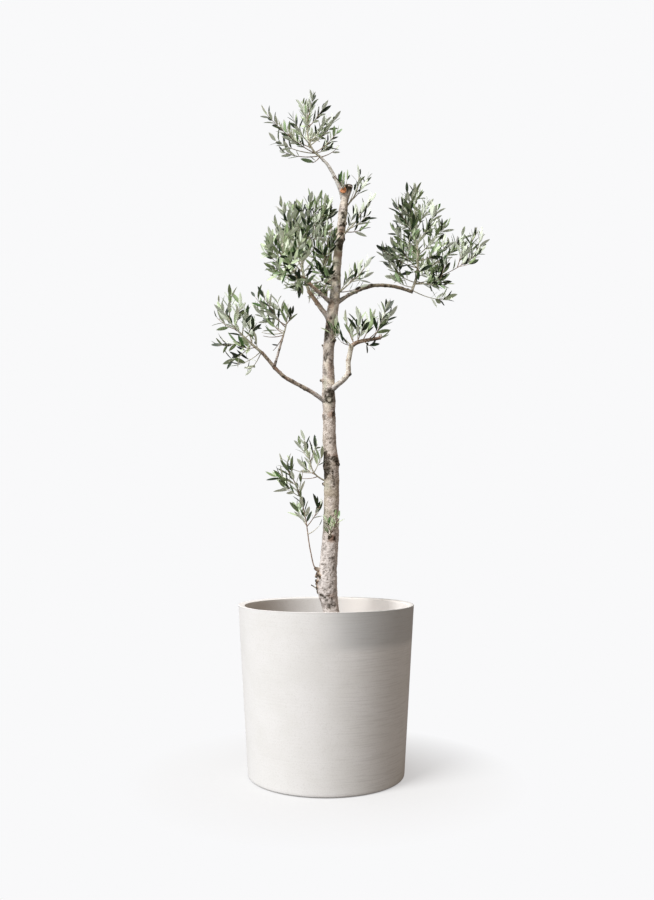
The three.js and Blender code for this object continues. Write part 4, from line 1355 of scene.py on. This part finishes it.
        "lobes": [[15, -44, 256, 42, 44, 54]],
        "twigs": [[0.5, -60, 46, 48], [0.6, 240, 54, 32], [0.45, 253, 11, 31], [0.8, 16, 73, 30]],
        "seed": 127,
    },
    "fork_sprig": {
        "height": 690,
        "legs": [[-63, 24, 34], [-70, 65, 17]],
        "leaf_size": 1.1,
        "paler": 0.2,
        "lobes": [[22, -36, 724, 44, 46, 54]],
        "twigs": [[0.5, 235, 56, 19], [0.5, -50, 22, 29], [0.8, 57, 64, 24]],
        "seed": 131,
    },
}
STEM_SHARE_OF_BOUGH = 0.9
STEM_START_INSIDE = 3
SPRAY_FOOT_RADIUS = 2.2
STEM_TIP_RADIUS = 1.3
STEM_BARE = 0.45
STEM_SIDES = 8
TWIG_FOOT_RADIUS = 1.3
TWIG_TIP_RADIUS = 0.6
TWIG_SIDES = 6
TWIG_RING_EVERY = 7
TWIG_POINTS = 13
TWIG_SAG = 0.14
TWIG_BARE = 0.16
FILL_SHARES = (0.25, 0.95)
FILL_FIRST_TURN = 75
FILL_TURN_VARIES = 40
FILL_RISES = (10, 60)
FILL_SHORTEST = 24
FILL_STEP = 4
LONG_LEAF = 46
SHOOT_FOOT_RADIUS = 0.9
SHOOT_TIP_RADIUS = 0.5
SHOOT_SIDES = 5
SHOOT_EVERY = 34
SHOOT_LENGTH = (22, 44)
SHOOT_SAG = 0.08
SHOOT_BARE = 0.12
SHOOT_FROM = 0.06
SHOOT_UP_TO = 0.78
SHOOT_TURN = 45
SHOOT_TURN_VARIES = 60
SHOOT_AHEAD = 0.75
SHOOT_UP = 0.35
SHOOT_SHORTENS = (1.1, 0.6)
LEAF_LENGTH = 31
LEAF_WIDTH = 8.2
LEAF_THICKNESS = 0.5
LEAF_SIZES = (0.72, 1.22)
LEAF_WIDTHS = (0.85, 1.15)
LEAF_ARCHES = (-0.03, 0.13)
LEAF_FOLDS = (0.1, 0.4)
LEAF_GAP = 9.6
LEAF_LAST_AT = 0.985
LEAF_PAIR_TURN = 50
LEAF_SPREAD = 44
LEAF_SPREAD_AT_TIP = 20
LEAF_SPREAD_VARIES = 24
LEAF_ROLL = 80
LEAF_LIFT = 0.3
TIP_LEAF_SMALLER = 0.18
TIP_LEAF_PALER = 0.2
LIMB_POINT_EVERY = 6
LIMB_CLEARANCE = 3
SPACE_CLEARANCE = 0.06
GOLDEN_ANGLE = 137.5
# Where along a twig and along a leaf it has to be clear of the limbs.
CHECKED_SHARES = (0.4, 0.7, 1)
LEAF_CHECKED_SHARES = (0.35, 0.6, 1)
# Stations of a leaf: [share of the length, share of the half width, share of the thickness].
LEAF_STATIONS = [
    [0, 0.11, 1.2],
    [0.09, 0.13, 1.2],
    [0.24, 0.72, 1],
    [0.44, 1, 1],
    [0.64, 0.93, 0.9],
    [0.84, 0.6, 0.7],
]
# The two colours that mottle a side of a leaf. The deep upper side is partly the leaf's own dark green and
# partly painted shade, and the fresh one partly young growth and partly painted light. The undersides are
# silvery felt in two kinds: silver, darker than the felt, as painted shade, and pale, near white, as painted
# light.
LEAF_COLOURS = {
    "deep": (0x243819, 0x17250F),
    "green": (0x466530, 0x335022),
    "grey_green": (0x9DB68A, 0x849E72),
    "fresh": (0xCEDCBA, 0xB7C8A2),
    "silver": (0x9FB284, 0x839869),
    "pale": (0xF7FEEE, 0xEEF9E0),
}
LEAF_SIDES = list(LEAF_COLOURS)
# A leaf's tone, from 0 to 1, picks its upper side: each kind takes the tones up to its limit.
UPPER_SIDES = {"deep": 0.6, "green": 0.67, "grey_green": 0.76, "fresh": 1}
# The share of undersides that are pale, as painted light; the rest are silver, as painted shade.
PALE_UNDER_SHARE = 0.7
TWIG_TONES = (0.2, 0.7)
STEM_TONE = 0.5
LEAF_TONE_VARIES = 0.8
LEAF_SHEEN = 0.25
LEAF_SHEEN_ROUGHNESS = 0.5
SILVERY_TWIG = (0xCFCAB6, 0xB0AC95, 0x847E69)
BROWN_TWIG = (0xA9917D, 0x816A59, 0x523F34)
BROWN_SHARE = 0.3
LEAF_MOTTLE = 9

twig_barks = [bark_finish("silvery_twig_bark", *SILVERY_TWIG), bark_finish("brown_twig_bark", *BROWN_TWIG)]
leaf_finishes = []
for kind, (first, second) in LEAF_COLOURS.items():
    # An olive leaf is leathery with a thin wax above, and felted with tiny silver scales below.
    felted = kind not in UPPER_SIDES
    made, tree, shader = finish("olive_leaf_" + kind, roughness=0.8 if felted else 0.5, ior=1.42)
    place = add(tree, "TexCoord").outputs["Object"]
    mottle = add(tree, "TexNoise", {"Vector": place, "Scale": 1 / (LEAF_MOTTLE * MM), "Detail": 2})
    share = add(tree, "MapRange", {"Value": mottle.outputs["Fac"], "From Min": 0.35, "From Max": 0.65})
    lay_films(tree, shader, linear(first), [(share.outputs["Result"], second)])
    if felted:
        shader.inputs["Sheen Weight"].default_value = LEAF_SHEEN
        shader.inputs["Sheen Roughness"].default_value = LEAF_SHEEN_ROUGHNESS
    leaf_finishes.append(made)

limb_points = []
limb_reach = []
for name, line in {"trunk": trunk_line, **bough_lines}.items():
    for share in np.linspace(0, 1, math.ceil(line.length / LIMB_POINT_EVERY)):
        limb_points.append(line.at(share))
        if name == "trunk":
            limb_reach.append(trunk_radius(limb_points[-1][2] - GROUND) + LIMB_CLEARANCE)
        else:
            limb_reach.append(between(BOUGHS[name]["radius"], share) + LIMB_CLEARANCE)
limb_points = np.array(limb_points)
limb_reach = np.array(limb_reach)


def clear_of_limbs(point, extra=0):
    """Whether a point lies clear of the trunk and the boughs."""
    return bool(np.all(np.linalg.norm(limb_points - point, axis=1) > limb_reach + extra))


def depth_in(mass, point):
    """How deep a point is in a mass's space: below 1 inside it, 0 at the middle of a lobe."""
    return min(
        math.hypot((point[0] - x) / wide, (point[1] - y) / deep, (point[2] - GROUND - z) / tall)
        for x, y, z, wide, deep, tall in mass["lobes"]
    )


def owned_by(mass, point):
    """A point belongs to a mass if it is inside its space and deeper there than in any other's."""
    own = depth_in(mass, point)
    if own > 1:
        return False
    return all(other is mass or depth_in(other, point) > own + SPACE_CLEARANCE for other in MASSES.values())


def twig_line(start, turn, rise, length, sag=TWIG_SAG):
    """A twig leaves its parent, droops a little and then turns up, as far as its chord reaches."""
    end = start + heading(turn, rise) * length
    bend = (start + end) / 2 - np.array([0, 0, sag * length])
    shares = np.linspace(0, 1, TWIG_POINTS)
    return Line([start * (1 - t) ** 2 + bend * 2 * t * (1 - t) + end * t**2 for t in shares])


def twigs_of(mass, stem):
    """The twigs listed for a mass, and those that fill its depth by the golden angle."""
    draw = series(mass["seed"])
    fill = mass.get("fill", 0)
    lines = []
    for share, turn, rise, length, *bare in mass["twigs"]:
        lines.append((twig_line(stem.at(share), turn, rise, length), bare[0] if bare else TWIG_BARE))
    for i in range(fill):
        share = between(FILL_SHARES, (i + draw()) / fill)
        turn = FILL_FIRST_TURN + GOLDEN_ANGLE * i + FILL_TURN_VARIES * draw()
        rise = between(FILL_RISES, draw())
        start = stem.at(share)
        length = FILL_SHORTEST
        while owned_by(mass, start + heading(turn, rise) * (length + LONG_LEAF / 2)):
            length += FILL_STEP
        line = twig_line(start, turn, rise, length)
        if length > FILL_SHORTEST and all(clear_of_limbs(line.at(s)) for s in CHECKED_SHARES):
            lines.append((line, TWIG_BARE))
    for share, turn, rise, length, bare in mass.get("side_twigs", []):
        lines.append((twig_line(stem.at(share), turn, rise, length), bare))
    for number, share, turn, rise, length in mass.get("sprigs", []):
        lines.append((twig_line(lines[number][0].at(share), turn, rise, length), TWIG_BARE))
    return lines


def shoots_of(mass, twig, bare, draw):
    """Side shoots of a twig, left and right by turns, shorter towards its tip, in the mass's own space."""
    lines = []
    count = round(twig.length * (1 - bare) / SHOOT_EVERY)
    for i in range(count):
        share = bare + SHOOT_FROM + (SHOOT_UP_TO - bare) * (i + draw()) / count
        way = twig.way(share)
        out = side_way(way, 180 * i + SHOOT_TURN_VARIES * (draw() - 0.5) + SHOOT_TURN)
        ahead = (way + out) * SHOOT_AHEAD + np.array([0, 0, SHOOT_UP])
        turn = math.degrees(math.atan2(ahead[1], ahead[0]))
        rise = math.degrees(math.asin(ahead[2] / np.linalg.norm(ahead)))
        length = between(SHOOT_LENGTH, draw()) * between(SHOOT_SHORTENS, share)
        line = twig_line(twig.at(share), turn, rise, length, SHOOT_SAG)
        if owned_by(mass, line.at(1)) and clear_of_limbs(line.at(0.5)) and clear_of_limbs(line.at(1)):
            lines.append(line)
    return lines


def leaf_blade(length, width, arch, fold):
    """Rings of a leaf's four edges from its stalk to its tip: left, top, right, bottom; +X along, +Y up."""
    points = []
    for along, wide, thick in LEAF_STATIONS:
        half = wide * width / 2
        droop = -arch * length * along * along
        high = thick * LEAF_THICKNESS / 2
        points.append((along * length, droop + fold * half, -half))
        points.append((along * length, droop + high, 0))
        points.append((along * length, droop + fold * half, half))
        points.append((along * length, droop - high, 0))
    points.append((length, -arch * length, 0))
    return np.array(points)


# The faces of a blade, and which of them belong to its upper side.
blade_faces = []
upper_faces = []
last = 4 * (len(LEAF_STATIONS) - 1)
for low in range(0, last + 1, 4):
    for edge in range(4):
        beside = (edge + 1) % 4
        if low < last:
            blade_faces.append((low + edge, low + 4 + edge, low + 4 + beside, low + beside))
        else:
            blade_faces.append((low + edge, low + 4, low + beside))
        upper_faces.append(edge < 2)
blade_faces.append((0, 1, 2, 3))
upper_faces.append(False)


def leaves_along(mass, line, bare, tone, draw, made):
    """Adds opposite pairs of leaves along a line to the vertices, faces and finishes of a mass."""
    vertices, faces, finishes = made
    pairs = max(1, round(line.length * (1 - bare) / mass.get("leaf_gap", LEAF_GAP)))
    for pair in range(1, pairs + 1):
        at_tip = pair == pairs
        share = bare + (LEAF_LAST_AT - bare) * pair / pairs
        root = line.at(share)
        along = line.way(share)
        side = side_way(along, 90 * (pair % 2) + LEAF_PAIR_TURN * (draw() - 0.5))
        for hand in (1, -1):
            spread = LEAF_SPREAD_AT_TIP if at_tip else LEAF_SPREAD
            spread = math.radians(spread + LEAF_SPREAD_VARIES * (draw() - 0.5))
            size = between(LEAF_SIZES, draw()) - TIP_LEAF_SMALLER * at_tip
            size *= mass.get("leaf_size", 1)
            way = along * math.cos(spread) + side * hand * math.sin(spread) + np.array([0, 0, LEAF_LIFT])
            way /= np.linalg.norm(way)
            across = np.cross(way, along)
            across /= np.linalg.norm(across)
            roll = math.radians(LEAF_ROLL * (draw() - 0.5))
            across = across * math.cos(roll) + np.cross(way, across) * math.sin(roll)
            up = np.cross(across, way)
            length = LEAF_LENGTH * size
            width = LEAF_WIDTH * size * between(LEAF_WIDTHS, draw())
            blade = leaf_blade(length, width, between(LEAF_ARCHES, draw()), between(LEAF_FOLDS, draw()))
            shade = clipped(tone + LEAF_TONE_VARIES * (draw() - 0.5) + TIP_LEAF_PALER * at_tip)
            upper = LEAF_SIDES.index(next(kind for kind, limit in UPPER_SIDES.items() if shade <= limit))
            # Most undersides get the pale kind, as painted light, and the rest the silver kind, as painted
            # shade.
            under = LEAF_SIDES.index("pale" if draw() < PALE_UNDER_SHARE else "silver")
            checked = [root + way * length * share for share in LEAF_CHECKED_SHARES]
            if all(owned_by(mass, point) and clear_of_limbs(point, width / 2) for point in checked):
                faces += counted_on(blade_faces, sum(len(block) for block in vertices))
                finishes += [upper if is_upper else under for is_upper in upper_faces]
                vertices.append(root + blade @ np.array([way, up, across]))


for name, mass in MASSES.items():
    if "bough" in mass:
        bough_line = bough_lines[mass["bough"]]
        start = bough_line.at(1) - bough_line.way(1) * STEM_START_INSIDE
        foot = STEM_SHARE_OF_BOUGH * BOUGHS[mass["bough"]]["radius"][1]
    else:
        start = trunk_at(mass["height"])
        foot = mass.get("stem_foot", SPRAY_FOOT_RADIUS)
    stem = line_from(start, mass["legs"])
    draw = series(mass["seed"] * 7 + 1)
    kind_draw = series(mass["seed"] + 5)
    paler = mass.get("paler", 0)
    wood = [(stem, foot, mass.get("stem_tip", STEM_TIP_RADIUS), STEM_SIDES, mass.get("brown_stem", False))]
    leaves = ([], [], [])
    leaves_along(mass, stem, mass.get("stem_bare", STEM_BARE), STEM_TONE + paler, draw, leaves)
    for twig, bare in twigs_of(mass, stem):
        brown = kind_draw() < mass.get("brown", BROWN_SHARE)
        wood.append((twig, TWIG_FOOT_RADIUS, TWIG_TIP_RADIUS, TWIG_SIDES, brown))
        tone = between(TWIG_TONES, draw()) + paler
        leaves_along(mass, twig, bare, tone, draw, leaves)
        for shoot in shoots_of(mass, twig, bare, draw) if mass.get("side_shoots", True) else []:
            wood.append((shoot, SHOOT_FOOT_RADIUS, SHOOT_TIP_RADIUS, SHOOT_SIDES, brown))
            leaves_along(mass, shoot, SHOOT_BARE, tone, draw, leaves)

    points = []
    faces = []
    kinds = []
    for line, thick, thin, sides, brown in wood:
        tapered, _, rings = tube(line, lambda share: between((thick, thin), share), sides, TWIG_RING_EVERY)
        faces += counted_on(ring_faces(rings, sides), sum(len(block) for block in points))
        kinds += [int(brown)] * (len(faces) - len(kinds))
        points.append(tapered)
    twig_wood = object_from(name + "_twigs", np.concatenate(points), faces, twig_barks, kinds)
    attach(twig_wood, "root")
    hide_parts(name)

    points, faces, finishes = leaves
    blades = object_from(name + "_leaves", np.concatenate(points), faces, leaf_finishes, finishes, crease=60)
    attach(blades, "root")
    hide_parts(name)
